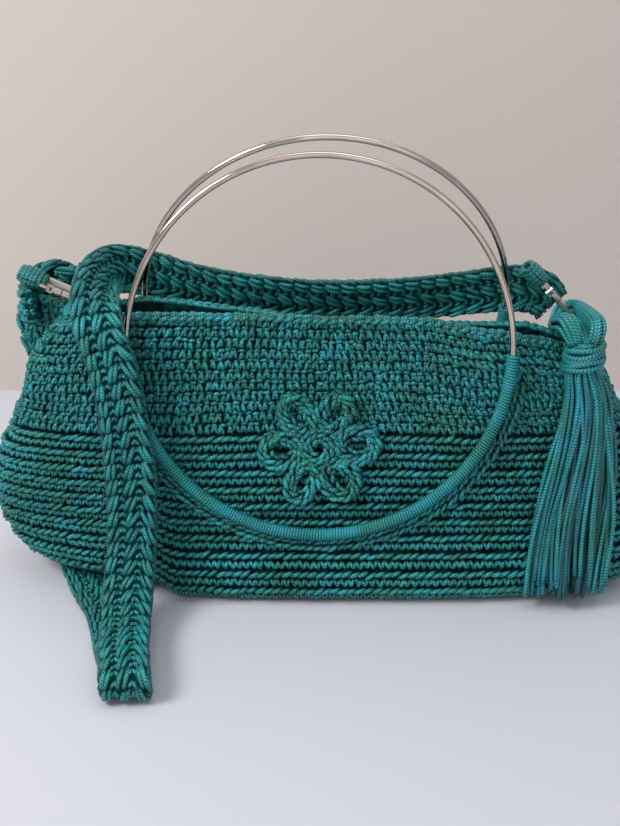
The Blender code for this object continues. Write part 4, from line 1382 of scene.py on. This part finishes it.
@dataclass
class Strap:
    """The long band of three raised columns, on both faces, with its ends through the clasps' eyes."""

    shape: BagShape
    stitcher: Stitcher
    finishes: Finishes
    clasps: dict
    width: float = 0.028
    thickness: float = 0.0070
    pitch: float = 0.0044
    columns: tuple = ((-9.2, 1.35), (0.0, -1.25), (9.2, -0.7))
    hollows: tuple = (-4.7, 4.7)
    edges: tuple = (-12.0, 12.0)
    turns: dict = field(
        default_factory=lambda: {
            Side.LEFT: (0.80, 0.98, 1.06, 1.04, 1.04, 0.94, 0.74),
            Side.RIGHT: (0.80, 0.98, 1.06, 1.04, 0.94, 0.74),
        }
    )
    fold_pitch: float = 0.0066
    fold_columns: tuple = ((-3.6, 1.0), (0.0, -0.9), (3.6, 0.8))
    fold: tuple = (
        (-0.1560, -0.0040, 0.1570), (-0.1566, -0.0040, 0.1490), (-0.1562, -0.0030, 0.1410),
        (-0.1550, -0.0020, 0.1330), (-0.1535, -0.0010, 0.1260),
    )
    route: tuple = (
        Stop(0.700, 0.350, 0.965, 0, 0.75, 0.45, 0.0, 0.90),
        Stop(0.645, 0.370, 1.018, 0, 1.0, 0.25, -0.02, 0.97),
        Stop(0.550, 0.425, 1.018, 0, 1.0, 0.10, -0.04, 0.99),
        Stop(0.420, 0.410, 1.000, 0, 1.0, 0.0, -0.20, 0.97),
        Stop(0.240, 0.370, 0.990, 0, 1.0, 0.0, -0.38, 0.92),
        Stop(0.050, 0.377, 0.985, 0, 1.0, 0.0, -0.47, 0.88),
        Stop(-0.150, 0.377, 0.995, 0, 1.0, 0.0, -0.36, 0.93),
        Stop(-0.330, 0.377, 1.022, 0, 1.0, 0.0, -0.20, 0.97),
        Stop(-0.470, 0.400, 1.065, 0, 1.0, 0.0, -0.12, 0.99),
        Stop(-0.570, 0.270, 1.105, 0, 1.0, -0.15, -0.12, 0.97),
        Stop(-0.606, 0.000, 1.115, 0, 1.0, -0.40, -0.12, 0.90),
        Stop(-0.612, -0.380, 1.105, 0, 1.0, -0.65, -0.10, 0.74),
        Stop(-0.606, -0.690, 1.065, 0, 0.96, -0.90, -0.08, 0.42),
        Stop(-0.586, -0.860, 0.985, 0, 0.94, -0.99, 0.0, 0.12),
        Stop(-0.558, -0.915, 0.880, 0, 0.94, -1.0, 0.0, 0.02),
        Stop(-0.540, -0.950, 0.750, 0, 0.95, -1.0, 0.0, 0.0),
        Stop(-0.527, -0.990, 0.580, 0, 1.0, -1.0, 0.0, 0.0),
        Stop(-0.525, -1.060, 0.400, 0, 1.0, -1.0, 0.0, 0.0),
        Stop(-0.530, -1.140, 0.260, 0, 1.0, -1.0, 0.0, 0.0),
        Stop(-0.537, -1.300, 0.155, 0, 1.0, -1.0, 0.0, 0.0),
        Stop(-0.528, -1.700, 0.098, 0, 0.94, -1.0, 0.0, 0.0),
        Stop(-0.510, -2.200, 0.099, 0, 0.92, -1.0, 0.02, 0.0),
        Stop(-0.495, -2.500, 0.0955, 0, 0.92, -1.0, 0.0, 0.0),
        Stop(-0.492, -2.577, 0.0840, 0, 0.92, -1.0, 0.0, 0.0),
        Stop(-0.491, -2.610, 0.0600, 0, 0.92, -1.0, 0.0, 0.0),
        Stop(-0.492, -2.577, 0.0350, 0, 0.92, -1.0, 0.0, 0.0),
        Stop(-0.495, -2.500, 0.0010, 1, 0.92, -1.0, 0.0, 0.0),
        Stop(-0.512, -2.200, 0.0, 1, 0.94, -0.99, -0.10, 0.0),
        Stop(-0.545, -1.800, 0.0, 1, 1.0, -0.96, -0.25, 0.0),
        Stop(-0.595, -1.250, 0.0, 1, 1.0, -0.92, -0.38, 0.0),
        Stop(-0.675, -0.700, 0.0, 1, 1.0, -0.88, -0.46, 0.0),
        Stop(-0.752, -0.050, 0.0, 1, 1.0, -0.94, -0.34, 0.0),
        Stop(-0.785, 0.550, 0.0, 1, 1.0, -0.98, -0.18, 0.0),
        Stop(-0.795, 1.030, 0.0, 1, 1.0, -1.0, 0.0, 0.0),
        Stop(-0.795, 1.240, 0.075, 0, 1.0, -1.0, 0.0, 0.0),
        Stop(-0.785, 1.210, 0.220, 0, 1.0, -1.0, 0.0, 0.0),
        Stop(-0.760, 1.020, 0.440, 0, 1.0, -1.0, 0.0, 0.0),
        Stop(-0.725, 0.760, 0.660, 0, 1.0, -1.0, 0.0, 0.05),
        Stop(-0.695, 0.550, 0.845, 0, 0.90, -1.0, 0.0, -0.05),
        Stop(-0.693, 0.400, 0.950, 0, 0.80, -0.98, 0.0, -0.20),
        Stop(-0.714, 0.300, 1.030, 0, 0.76, -0.75, 0.0, -0.66),
        Stop(-0.756, 0.270, 1.066, 0, 0.76, -0.20, 0.0, -0.98),
        Stop(-0.800, 0.250, 1.058, 0, 0.82, 0.05, 0.0, -1.0),
        Stop(-0.835, 0.160, 1.022, 0, 0.79, 0.0, 0.0, -1.0),
        Stop(-0.845, -0.010, 1.008, 0, 0.71, 0.0, 0.0, -1.0),
        Stop(-0.826, -0.175, 1.012, 0, 0.65, 0.0, 0.0, -1.0),
        Stop(-0.788, -0.240, 1.022, 0, 0.57, 0.0, 0.0, -1.0),
    )

    def band(self) -> tuple:
        """The band's dense centre line, directions and width, from its route.

        Returns:
            Centres, directions across and square to the band, and shares of its width.
        """
        half_l, half_d = self.shape.length / 2, self.shape.depth / 2
        centres = [
            (s.along * half_l, s.across * half_d, s.up * self.shape.height + s.lie * self.thickness / 2)
            for s in self.route
        ]
        across = unit(np.array([(s.wx, s.wy, s.wz) for s in self.route]))
        centres = curve_through(np.array(centres), 8)
        centres[:, 2] = np.maximum(centres[:, 2], self.thickness / 2)
        across = curve_through(across, 8)
        wide = curve_through(np.array([(s.wide, 0, 0) for s in self.route]), 8)[:, 0]
        along = unit(np.gradient(centres, axis=0))
        across = unit(across - along * np.sum(across * along, axis=1, keepdims=True))
        normal = np.cross(along, across)
        return centres, across, normal, wide

    def column(self, at: float, lean: float, out: float) -> tuple:
        """The two strands of one raised column: long, slanted and overlapping the next.

        Args:
            at: Place across the band, in millimetres.
            lean: How far the strands slant.
            out: How far they stand out.

        Returns:
            The strands.
        """
        strands = []
        for aside in (-1.3, 1.3):
            points = (
                (-5.6, at + aside * 0.9 - 1.7 * lean, out - 2.0),
                (-2.0, at + aside - 0.7 * lean, out + 0.3),
                (2.0, at + aside + 0.8 * lean, out + 0.4),
                (5.4, at + aside * 0.5 + 1.8 * lean, out - 1.6),
            )
            strands.append(Stroke(points, 1.32))
        return tuple(strands)

    def bumps(self, at: float, out: float) -> tuple:
        """The small recessed loops between two columns.

        Args:
            at: Place across the band, in millimetres.
            out: How far they stand out.

        Returns:
            The strands.
        """
        low = ((1.5, at - 2.3, out - 1.8), (0.2, at - 1.1, out - 0.2), (-1.3, at + 0.4, out - 1.2))
        high = ((1.5, at + 2.3, out - 1.8), (0.2, at + 1.1, out - 0.2), (-1.3, at - 0.4, out - 1.4))
        return Stroke(low, 1.08), Stroke(high, 1.08)

    def build(self, node: bpy.types.Object) -> None:
        """Builds the band's backing and both faces of stitches.

        Args:
            node: The strap's solid.
        """
        back = backing_copy(node, "strap_core", 0.0012, self.finishes.core)
        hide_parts(node.name)
        centres, across, normal, wide = self.band()
        run = np.concatenate([[0], np.cumsum(np.linalg.norm(np.diff(centres, axis=0), axis=1))])

        def widen(s: Array) -> Array:
            """The band's width at each distance along it."""
            return np.interp(s, run, wide)

        for face, sign in (("outer", 1.0), ("inner", -1.0)):
            pile = CordPile(f"strap_{face}_face")
            track = Track(centres, across, normal * sign)
            for at, lean in self.columns:
                strokes = self.column(at, lean * sign, 2.2)
                self.stitcher.row(pile, track, strokes, 2 * self.pitch, widen=widen, rough=0.20)
            for at in self.hollows:
                strokes = self.bumps(at, 1.9)
                self.stitcher.row(pile, track, strokes, self.pitch, start=0.5, widen=widen, rough=0.20)
            if sign > 0:
                for at in self.edges:
                    edge = (Stroke(((-3.0, at, -1.4), (0.0, at * 1.03, 0.0), (3.0, at, 1.4)), 1.30),)
                    self.stitcher.row(pile, track, edge, self.pitch, widen=widen, rough=0.15)
            pile.build(self.finishes.strap_cord, Body.BAG)
        self.build_end_fold()
        self.build_eye_cords()
        self.build_eye_binding()

    def build_end_fold(self) -> None:
        """Hangs the gathered edge of the strap's left end down to the body's shoulder."""
        pile = CordPile("left_end_fold")
        line = curve_through(np.array(self.fold), 8)
        along = unit(np.gradient(line, axis=0))
        for sign in (-1.0, 1.0):
            facing = np.tile(np.array([0.0, sign, 0.0]), (len(line), 1))
            ups = unit(np.cross(facing, along))
            track = Track(line, ups, unit(np.cross(along, ups)))
            for at, lean in self.fold_columns:
                self.stitcher.row(pile, track, self.column(at, lean, 0.8), self.fold_pitch, rough=0.35)
        pile.build(self.finishes.strap_cord, Body.BAG)

    def build_eye_binding(self) -> None:
        """Winds the cord that closes the strap's end over each clasp's eye."""
        stations = 25
        t = np.linspace(0, 2 * math.pi, stations)
        for side in (Side.LEFT, Side.RIGHT):
            clasp = self.clasps[side]
            paths, outs = [], []
            for k, swell in enumerate(self.turns[side]):
                turn = [
                    clasp.at(-0.0122 + 0.0021 * k, 0.0072 * swell * math.cos(a), 0.0038 * swell * math.sin(a))
                    for a in t
                ]
                paths.append(turn)
                outs.append([np.array(p) - np.mean(turn[:-1], axis=0) for p in turn])
            pile = CordPile(f"{side.value}_eye_binding")
            # Painted shade: the binding's cords get an openness of 0.66, which darkens their colour evenly.
            bent = CordTemplate(stations, 8).bend(
                np.array(paths), np.full(stations, 0.0014), np.array(outs), 0.66
            )
            pile.add(bent)
            pile.build(self.finishes.strap_cord, Body.BAG)

    def build_eye_cords(self) -> None:
        """Passes two strands through each clasp's eye and round the side of it."""
        for side, reach in ((Side.LEFT, 0.0125), (Side.RIGHT, 0.0175)):
            clasp = self.clasps[side]
            middle = -(clasp.eye_bar + 0.0020) / 2
            half = ((0.0060, 1.0), (0.0030, 0.77), (0.0016, 0.0))
            bend = ((reach, 1.8), *half, *((v, -w) for v, w in half[1::-1]), (reach, 0.2))
            pile = CordPile(f"{side.value}_eye_cords")
            template = CordTemplate(24, 8)
            paths = []
            for offset in (-0.0012, 0.0012):
                points = [clasp.at(middle + offset, -v, -w * 0.0030) for v, w in bend]
                curve = curve_through(np.array(points), 8)
                pick = np.linspace(0, len(curve) - 1, 24).astype(int)
                paths.append(curve[pick])
            paths = np.array(paths)
            outs = np.broadcast_to(clasp.at(1, 0, 0) - clasp.at(0, 0, 0), paths.shape)
            pile.add(template.bend(paths, np.full(24, 0.00125), outs))
            pile.build(self.finishes.strap_cord, Body.BAG)


@dataclass
class Flower:
    """Six open petals of looped cord round a disc, on the front panel."""

    shape: BagShape
    stitcher: Stitcher
    finishes: Finishes
    height: float = 0.0885
    reach: float = 0.0205
    half_length: float = 0.0105
    half_width: float = 0.0086
    turn: float = math.radians(4.0)

    def surface(self, flat: Array) -> Array:
        """Lays flat points on the dented panel.

        Args:
            flat: Points as along, up from the flower's centre, and out.

        Returns:
            The points in space.
        """
        out = flat.reshape(-1, 3)
        laid = []
        for x, up, rise in out:
            z = self.height + up
            y = self.shape.wall_y(Side.FRONT, x, z) - self.shape.panel_gap - rise
            laid.append((x, y, z))
        return np.array(laid).reshape(flat.shape)

    def loop_track(self, centre: float, turn: float, a: float, b: float, rise: float) -> Track:
        """A closed line round an oval on the panel.

        Args:
            centre: The oval's distance from the flower's centre.
            turn: Its turn round it.
            a: Half its length.
            b: Half its width.
            rise: How far it stands out.

        Returns:
            The line.
        """
        t = np.linspace(0, 2 * math.pi, 73)
        along, aside = centre + a * np.cos(t), b * np.sin(t)
        c, s = math.cos(turn), math.sin(turn)
        flat = np.stack([along * c - aside * s, along * s + aside * c, t * 0 + rise], -1)
        points = self.surface(flat)
        tangent = unit(np.gradient(points, axis=0))
        outs = np.tile(np.array([0.0, -1.0, 0.0]), (len(t), 1))
        ups = unit(np.cross(outs, tangent))
        return Track(points, ups, outs, closed=True)

    def build(self, node: bpy.types.Object) -> None:
        """Builds the petals and the disc.

        Args:
            node: The flower's solid.
        """
        pile = CordPile("flower_stitches")
        outer = (Stroke(((-3.0, -1.3, -0.3), (-1.0, -0.5, 0.9), (1.1, 0.6, 0.9), (3.1, 1.3, -0.3)), 1.30),)
        inner = (Stroke(((-2.6, 0.9, -0.3), (0.0, 0.2, 0.7), (2.6, -0.9, -0.3)), 1.20),)
        for petal in range(6):
            turn = self.turn + math.pi / 3 * petal
            for longer, wider, rise, strokes in (
                (0.0006, 0.0006, 0.0035, outer), (-0.0019, -0.0022, 0.0032, outer),
                (-0.0038, -0.0048, 0.0020, inner), (0.0010, 0.0010, 0.0013, inner),
            ):
                long = (self.half_length + longer) * (1 + 0.07 * math.sin(3.1 * petal + 0.4))
                wide = (self.half_width + wider) * (0.96 + 0.08 * math.cos(2.3 * petal))
                loop = self.loop_track(self.reach, turn, long, wide, rise)
                self.stitcher.row(pile, loop, strokes, 0.0041, rough=0.45)
        for radius, rise in ((0.0100, 0.0030), (0.0070, 0.0042), (0.0044, 0.0038)):
            ring = self.loop_track(0.0, 0.0, radius, radius, rise)
            self.stitcher.row(pile, ring, outer, 0.0042)
        base = self.loop_track(0.0, 0.0, 0.0085, 0.0085, 0.0014)
        self.stitcher.row(pile, base, outer, 0.0042)
        piece = pile.build(self.finishes.cord, Body.BAG)
        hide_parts(node.name)


@dataclass
class Tassel:
    """Cords looped through the right hook, bound at the neck and hanging as a skirt."""

    shape: BagShape
    finishes: Finishes
    clasp: Clasp
    neck_radius: float = 0.0080
    cord: float = 0.00112
    head_cords: int = 10
    skirt_cords: int = 118
    binding_height: float = 0.013
    hangs: tuple = (
        Hang(0.725, 0.845, 1.15, 0.85),
        Hang(0.742, 0.760, 1.55, 0.90),
        Hang(0.745, 0.640, 1.95, 0.90),
        Hang(0.740, 0.500, 2.35, 0.85),
        Hang(0.730, 0.350, 2.70, 0.82),
        Hang(0.722, 0.200, 2.90, 0.82),
        Hang(0.716, 0.055, 2.95, 0.80),
    )

    def centre(self, hang: Hang) -> Array:
        """Centre of the skirt at a stop.

        Args:
            hang: The stop.

        Returns:
            The point.
        """
        x, z = hang.along * self.shape.length / 2, hang.up * self.shape.height
        deep = hang.deep * self.neck_radius
        y = self.shape.wall_y(Side.FRONT, x, z)
        return np.array([x, y - self.shape.panel_gap - deep - self.shape.rib_height, z])

    def build(self, node: bpy.types.Object, binding: bpy.types.Object) -> None:
        """Builds the head, the skirt and the binding.

        Args:
            node: The tassel's solid.
            binding: The binding's solid.
        """
        piece = self.build_cords()
        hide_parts(node.name)
        tie = self.build_binding()
        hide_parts(binding.name)

    def build_cords(self) -> bpy.types.Object:
        """The cords of the head and the skirt.

        Returns:
            The finished piece.
        """
        pile = CordPile("tassel_cords")
        random = np.random.default_rng(SEED + 1)
        foot = self.centre(self.hangs[0])
        neck = foot + np.array([0, 0, self.binding_height])
        at = self.clasp.at
        v = 0.0027
        route = [
            neck + np.array([-0.0046, 0, 0.001]),
            neck + np.array([-0.0085, 0.0050, 0.0100]),
            at(0.0180, 0.0135, -0.0085),
            at(0.0184, 0.0070, -0.0068),
            at(0.0186, 0.0031, -0.0038),
            at(0.0188, v, 0.0),
            at(0.0190, 0.0031, 0.0038),
            at(0.0196, 0.0070, 0.0058),
            at(0.0212, 0.0135, 0.0066),
            neck + np.array([0.0066, 0.0040, 0.0100]),
            neck + np.array([0.0046, 0, 0.001]),
        ]
        sizes = (3.8, 5.6, 4.0, 2.3, 1.8, 1.8, 1.8, 2.2, 3.4, 4.3, 3.8)
        line = curve_through(np.array(route), 5)
        thick = curve_through(np.array(sizes)[:, None] * MM, 5)[:, 0]
        stations = len(line)
        along = unit(np.gradient(line, axis=0))
        side = np.zeros_like(line)
        side[0] = unit(np.cross(along[0], [0.0, 1.0, 0.0]))
        for i in range(1, stations):
            side[i] = unit(side[i - 1] - along[i] * np.dot(side[i - 1], along[i]))
        other = np.cross(along, side)
        paths = []
        for k in range(self.head_cords):
            ring = 1.0 if k else 0.0
            a = 2 * math.pi * k / (self.head_cords - 1)
            away = np.maximum(thick - self.cord * 0.9, 0.0003) * ring
            twist = a + 0.25 * np.sin(np.linspace(0, 9, stations) + k)
            sideways = side * (away * np.cos(twist))[:, None]
            paths.append(line + sideways + other * (away * np.sin(twist))[:, None])
        paths = np.array(paths)
        outs = np.broadcast_to(side, paths.shape)
        slim = np.minimum(self.cord * 1.12, np.maximum(0.75 * thick, 0.0008))
        # Painted shade: the head's cords get an openness of 0.85, which darkens their colour a little.
        pile.add(CordTemplate(stations, 7).bend(paths, slim, outs, 0.85))
        self.add_throat(pile, neck)
        self.add_skirt(pile, random, neck)
        return pile.build(self.finishes.tassel_cord, Body.BAG)

    def add_throat(self, pile: CordPile, neck: Array) -> None:
        """Fills the head between its two limbs, from the hook's tip down to the neck.

        Args:
            pile: Where the cords go.
            neck: Top of the binding.
        """
        stations = 15
        paths = []
        for k in range(8):
            share = (k + 0.5) / 8 * 2 - 1
            top = self.clasp.at(0.0262, 0.0034, 0.0070 * share)
            low = neck + np.array([0.0068 * share, -0.0022 * (1 - abs(share)), 0.0005])
            bulge = np.array([0.0018 * share, -0.0025, 0.0030])
            inside = self.clasp.at(0.0235, -0.0020, 0.0060 * share)
            points = np.array([inside, top, lerp(top, low, 0.33) + bulge, lerp(top, low, 0.7) + bulge, low])
            curve = curve_through(points, 6)
            paths.append(curve[np.linspace(0, len(curve) - 1, stations).astype(int)])
        paths = np.array(paths)
        outs = np.broadcast_to(np.array([0.0, -0.6, 0.8]), paths.shape)
        pile.add(CordTemplate(stations, 7).bend(paths, np.full(stations, 0.00125), outs))

    def add_skirt(self, pile: CordPile, random: np.random.Generator, neck: Array) -> None:
        """Hangs the skirt's cords from the neck, each with its own waves and length.

        Args:
            pile: Where the cords go.
            random: Seeded random source.
            neck: Top of the binding.
        """
        rows = [(neck + np.array([0, 0, 0.002]), 0.85, 0.85), (neck - np.array([0, 0, 0.004]), 0.95, 0.9)]
        rows += [(self.centre(h), h.side, h.deep) for h in self.hangs]
        centres = curve_through(np.array([r[0] for r in rows]), 3)
        spread = curve_through(np.array([(r[1], r[2], 0) for r in rows]), 3)
        room = 1 - self.cord / self.neck_radius / spread[:, :2]
        stations = len(centres)
        t = np.linspace(0, 1, stations)
        paths = []
        for k in range(self.skirt_cords):
            a = 2.399963 * k
            share = math.sqrt((k + 0.5) / self.skirt_cords)
            sway = 0.10 * t * random.normal(0, 1) + a
            x = self.neck_radius * spread[:, 0] * room[:, 0] * share * np.cos(sway)
            y = self.neck_radius * spread[:, 1] * room[:, 1] * share * np.sin(sway)
            wave = random.uniform(0.8, 3.4) * MM * np.sin(np.minimum(1.0, 1.4 * t) * math.pi / 2) * (t > 0)
            x = x + wave * np.sin(random.uniform(3, 10) * t + random.uniform(0, 6))
            y = y + wave * 0.5 * np.sin(random.uniform(3, 10) * t + random.uniform(0, 6))
            path = centres + np.stack([x, y, x * 0], -1)
            short = 1 - max(0.0, random.normal(0.03, 0.035))
            run = t * short
            path = np.stack([np.interp(run, t, path[:, i]) for i in range(3)], -1)
            paths.append(path)
        paths = np.array(paths)
        outs = np.broadcast_to(np.array([0.0, -1.0, 0.0]), paths.shape)
        # Painted shade: cords nearer the middle of the skirt are darker, and each cord is also dimmed by a
        # random share for uneven tone.
        outer = np.sqrt((np.arange(self.skirt_cords) + 0.5) / self.skirt_cords)
        light = (0.25 + 0.75 * outer**2) * random.uniform(0.62, 1.0, self.skirt_cords)
        bent = CordTemplate(stations, 6).bend(paths, np.full(stations, self.cord), outs, light[:, None])
        pile.add(bent)

    def build_binding(self) -> bpy.types.Object:
        """The turns of cord round the neck, rising to the right.

        Returns:
            The finished piece.
        """
        pile = CordPile("tassel_tie")
        foot = self.centre(self.hangs[0])
        neck = foot + np.array([0, 0, self.binding_height])
        stations = 33
        t = np.linspace(0, 2 * math.pi, stations)
        paths = []
        for k, share in enumerate((0.98, 0.80, 0.62, 0.44, 0.26)):
            centre = foot + (neck - foot) * share
            flare = 1 + (self.hangs[0].side - 1) * (1 - share)
            radius = (self.neck_radius + 0.0010) * flare + 0.0003 * (k % 2)
            x, y = radius * np.cos(t), radius * 0.98 * np.sin(t)
            z = (0.26 + 0.07 * math.sin(2.1 * k)) * x + 0.0009 * np.sin(t * 2 + 1.7 * k)
            paths.append(centre + np.stack([x, y, z], -1))
        paths = np.array(paths)
        outs = unit(paths - paths.mean(axis=1, keepdims=True))
        # Painted shade: the tie's turns get an openness of 0.68, which darkens their colour evenly.
        pile.add(CordTemplate(stations, 8).bend(paths, np.full(stations, 0.0014), outs, 0.68))
        return pile.build(self.finishes.tassel_cord, Body.BAG)


@dataclass
class CornerLoop:
    """The gathered cords that stand on a corner of the mouth and pass through its hook."""

    side: Side
    shape: BagShape
    finishes: Finishes
    clasp: Clasp
    cords: int
    cord: float = 0.00115

    def route(self) -> tuple:
        """The bundle's line and its radius at each point, in metres.

        Returns:
            The points and the radii.
        """
        at, wall = self.clasp.at, self.shape.wall
        top = self.shape.height
        if self.side is Side.LEFT:
            radius, v = 0.0017, 0.0
            feet = (
                (-0.131, self.shape.wall_y(Side.FRONT, -0.131, top) + wall / 2),
                (-0.120, self.shape.wall_y(Side.BACK, -0.120, top) - wall / 2),
            )
            middle = [
                at(0.0176, 0.0080, -0.0066),
                at(0.0178, 0.0006, -0.0046),
                at(0.0182, v, 0.0),
                at(0.0196, v, 0.0046),
                at(0.0245, -0.0010, 0.0074),
                at(0.0298, -0.0020, 0.0040),
            ]
            swells = (1.2, 1.1, 1.0, 1.0, 1.0, 1.2, 1.0, 1.1)
        else:
            radius, v = 0.0017, -0.0026
            feet = (
                (0.1270, self.shape.wall_y(Side.BACK, 0.1270, top) - wall * 0.3),
                (0.1355, self.shape.wall_y(Side.BACK, 0.1355, top) - wall * 0.6),
            )
            middle = [
                at(0.0178, v, -0.0040),
                at(0.0188, v, 0.0),
                at(0.0200, v, 0.0040),
                at(0.0250, v, 0.0072),
                at(0.0310, v, 0.0040),
            ]
            swells = (1.2, 1.0, 1.0, 1.0, 1.2, 1.2, 1.2)
        ends = []
        for x, y in feet:
            z = self.shape.lip_height(Side.FRONT, x) + 0.35 * wall + 1.4 * radius
            ends.append(np.array([x, y, z - 0.001]))
        return [ends[0], *middle, ends[1]], [radius * s for s in swells]

    def build(self, node: bpy.types.Object) -> None:
        """Builds the cords of the loop.

        Args:
            node: The loop's solid.
        """
        points, radii = self.route()
        line = curve_through(np.array(points), 6)
        thick = curve_through(np.array(radii)[:, None], 6)[:, 0]
        stations = len(line)
        along = unit(np.gradient(line, axis=0))
        side = np.zeros_like(line)
        side[0] = unit(np.cross(along[0], [0.0, 0.0, 1.0]))
        for i in range(1, stations):
            side[i] = unit(side[i - 1] - along[i] * np.dot(side[i - 1], along[i]))
        other = np.cross(along, side)
        paths = []
        for k in range(self.cords):
            a = 2 * math.pi * k / self.cords + np.linspace(0, 1.2, stations)
            away = np.maximum(thick * 1.25 - self.cord, 0.0003)
            paths.append(line + side * (away * np.cos(a))[:, None] + other * (away * np.sin(a))[:, None])
        paths = np.array(paths)
        pile = CordPile(f"{self.side.value}_corner_cords")
        outs = np.broadcast_to(side, paths.shape)
        pile.add(CordTemplate(stations, 7).bend(paths, np.full(stations, self.cord), outs))
        piece = pile.build(self.finishes.cord, Body.BAG)
        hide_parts(node.name)


@dataclass
class Studio:
    """The plain table, the wall, the lights and the camera."""

    camera_place: tuple = (-0.00485, -0.526, 0.306)
    pitch: float = 22.0
    lens: float = 43.58
    wall_y: float = 0.284

    def build(self) -> None:
        """Sets the studio up round the bag."""
        self.build_surfaces()
        self.build_lights()
        self.build_camera()

    def plane(self, name: str, place: Matrix, size: float, finish: PlainFinish) -> None:
        """Makes one flat surface of the studio.

        Args:
            name: The surface's name.
            place: Where it stands.
            size: Half its side.
            finish: Its finish.
        """
        bm = bmesh.new()
        bmesh.ops.create_grid(bm, x_segments=2, y_segments=2, size=size, matrix=place)
        mesh = bpy.data.meshes.new(name)
        bm.to_mesh(mesh)
        bm.free()
        mesh.materials.append(finish.make())
        surface = bpy.data.objects.new(name, mesh)
        bpy.context.scene.collection.objects.link(surface)
        report(surface)

    def build_surfaces(self) -> None:
        """Makes the table and the wall behind it."""
        table = PlainFinish("pale_table", (0.485, 0.50, 0.565), (0.51, 0.52, 0.58), 0.5)
        self.plane("table_top", Matrix.Translation((0, self.wall_y - 1.0, -0.0002)), 3.0, table)
        wall = PlainFinish("warm_wall", (0.51, 0.455, 0.420), (0.545, 0.49, 0.455), 0.85)
        upright = Matrix.Translation((0, self.wall_y, 1.9)) @ Matrix.Rotation(math.pi / 2, 4, "X")
        self.plane("back_wall", upright, 2.0, wall)

    def lamp(self, name: str, place: tuple, aim: tuple, size: float, power: float, colour: tuple) -> None:
        """Adds one soft square light.

        Args:
            name: The light's name.
            place: Where it hangs.
            aim: Where it points.
            size: Its side.
            power: Its power in watts.
            colour: Its colour.
        """
        light = bpy.data.lights.new(name, "AREA")
        light.shape = "SQUARE"
        light.size = size
        light.energy = power
        light.color = colour
        lamp = bpy.data.objects.new(name, light)
        lamp.location = place
        direction = Vector(aim) - Vector(place)
        lamp.rotation_euler = direction.to_track_quat("-Z", "Y").to_euler()
        bpy.context.scene.collection.objects.link(lamp)

    def build_lights(self) -> None:
        """Sets a soft key from the upper left, a weak fill and the dim air of a room."""
        self.lamp("key", (-0.85, -0.55, 1.00), (0, 0, 0.08), 0.50, 15.0, (1.0, 0.98, 0.95))
        self.lamp("fill", (0.3, -1.3, 0.45), (0, 0, 0.06), 1.0, 2.8, (1.0, 0.97, 0.94))
        self.lamp("top", (0.1, 0.1, 1.3), (0, 0, 0.1), 0.9, 5.0, (0.94, 0.97, 1.0))
        world = bpy.data.worlds.new("studio_air")
        world.use_nodes = True
        w = Wiring(world.node_tree)
        air = world.node_tree.nodes["Background"]
        place = w.add("TexCoord")
        split = w.add("SeparateXYZ")
        w.link(place.outputs["Generated"], split.inputs[0])
        ramp = w.add("ValToRGB")
        ramp.color_ramp.elements[0].position = 0.30
        ramp.color_ramp.elements[0].color = (0.16, 0.13, 0.11, 1)
        ramp.color_ramp.elements[1].position = 0.85
        ramp.color_ramp.elements[1].color = (0.95, 0.97, 1.0, 1)
        w.link(w.math("ADD", w.math("MULTIPLY", split.outputs[2], 0.5), 0.5), ramp.inputs[0])
        w.link(ramp.outputs[0], air.inputs[0])
        air.inputs[1].default_value = 0.75
        bpy.context.scene.world = world
        bpy.context.scene.view_settings.view_transform = "Standard"

    def build_camera(self) -> None:
        """Puts the camera where the picture was taken from."""
        data = bpy.data.cameras.new("view")
        data.sensor_width = 36.0
        data.lens = self.lens
        data.clip_start = 0.01
        camera = bpy.data.objects.new("view", data)
        camera.location = self.camera_place
        camera.rotation_euler = (math.radians(90 - self.pitch), 0, 0)
        bpy.context.scene.collection.objects.link(camera)
        bpy.context.scene.camera = camera


def main(frame: dict) -> None:
    """Builds every sub-assembly in order.

    Args:
        frame: The loaded frame, with its nodes.
    """
    logging.basicConfig(level=logging.INFO, format="%(name)s %(message)s")
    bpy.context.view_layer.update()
    nodes = frame["nodes"]
    Studio().build()
    shape = BagShape()
    finishes = Finishes()
    stitcher = Stitcher(stations=5, sides=5)
    leg_stitcher = Stitcher(stations=4, sides=5)
    clasps = {
        Side.LEFT: Clasp(-0.001, (-0.1240, 0.1594), math.radians(24.0)),
        Side.RIGHT: Clasp(0.003, (0.1393, 0.1495), math.radians(46.0)),
    }
    CrochetBody(shape, stitcher, leg_stitcher, finishes).build(nodes["bag_body"])
    for side in (Side.FRONT, Side.BACK):
        handle = RingHandle(side, shape, finishes, stitcher)
        handle.build(nodes[f"{side.value}_ring"], nodes[f"{side.value}_ring_wrap"])
    Strap(shape, stitcher, finishes, clasps).build(nodes["strap"])
    Flower(shape, stitcher, finishes).build(nodes["flower"])
    Tassel(shape, finishes, clasps[Side.RIGHT]).build(nodes["tassel"], nodes["tassel_binding"])
    CornerLoop(Side.LEFT, shape, finishes, clasps[Side.LEFT], 5).build(nodes["left_corner_loop"])
    CornerLoop(Side.RIGHT, shape, finishes, clasps[Side.RIGHT], 3).build(nodes["right_corner_loop"])
    for side in (Side.LEFT, Side.RIGHT):
        dress(nodes[f"{side.value}_clasp_body"], finishes.clasp)
        dress(nodes[f"{side.value}_clasp_gate"], finishes.clasp)


if __name__ == "__main__":
    main(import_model())
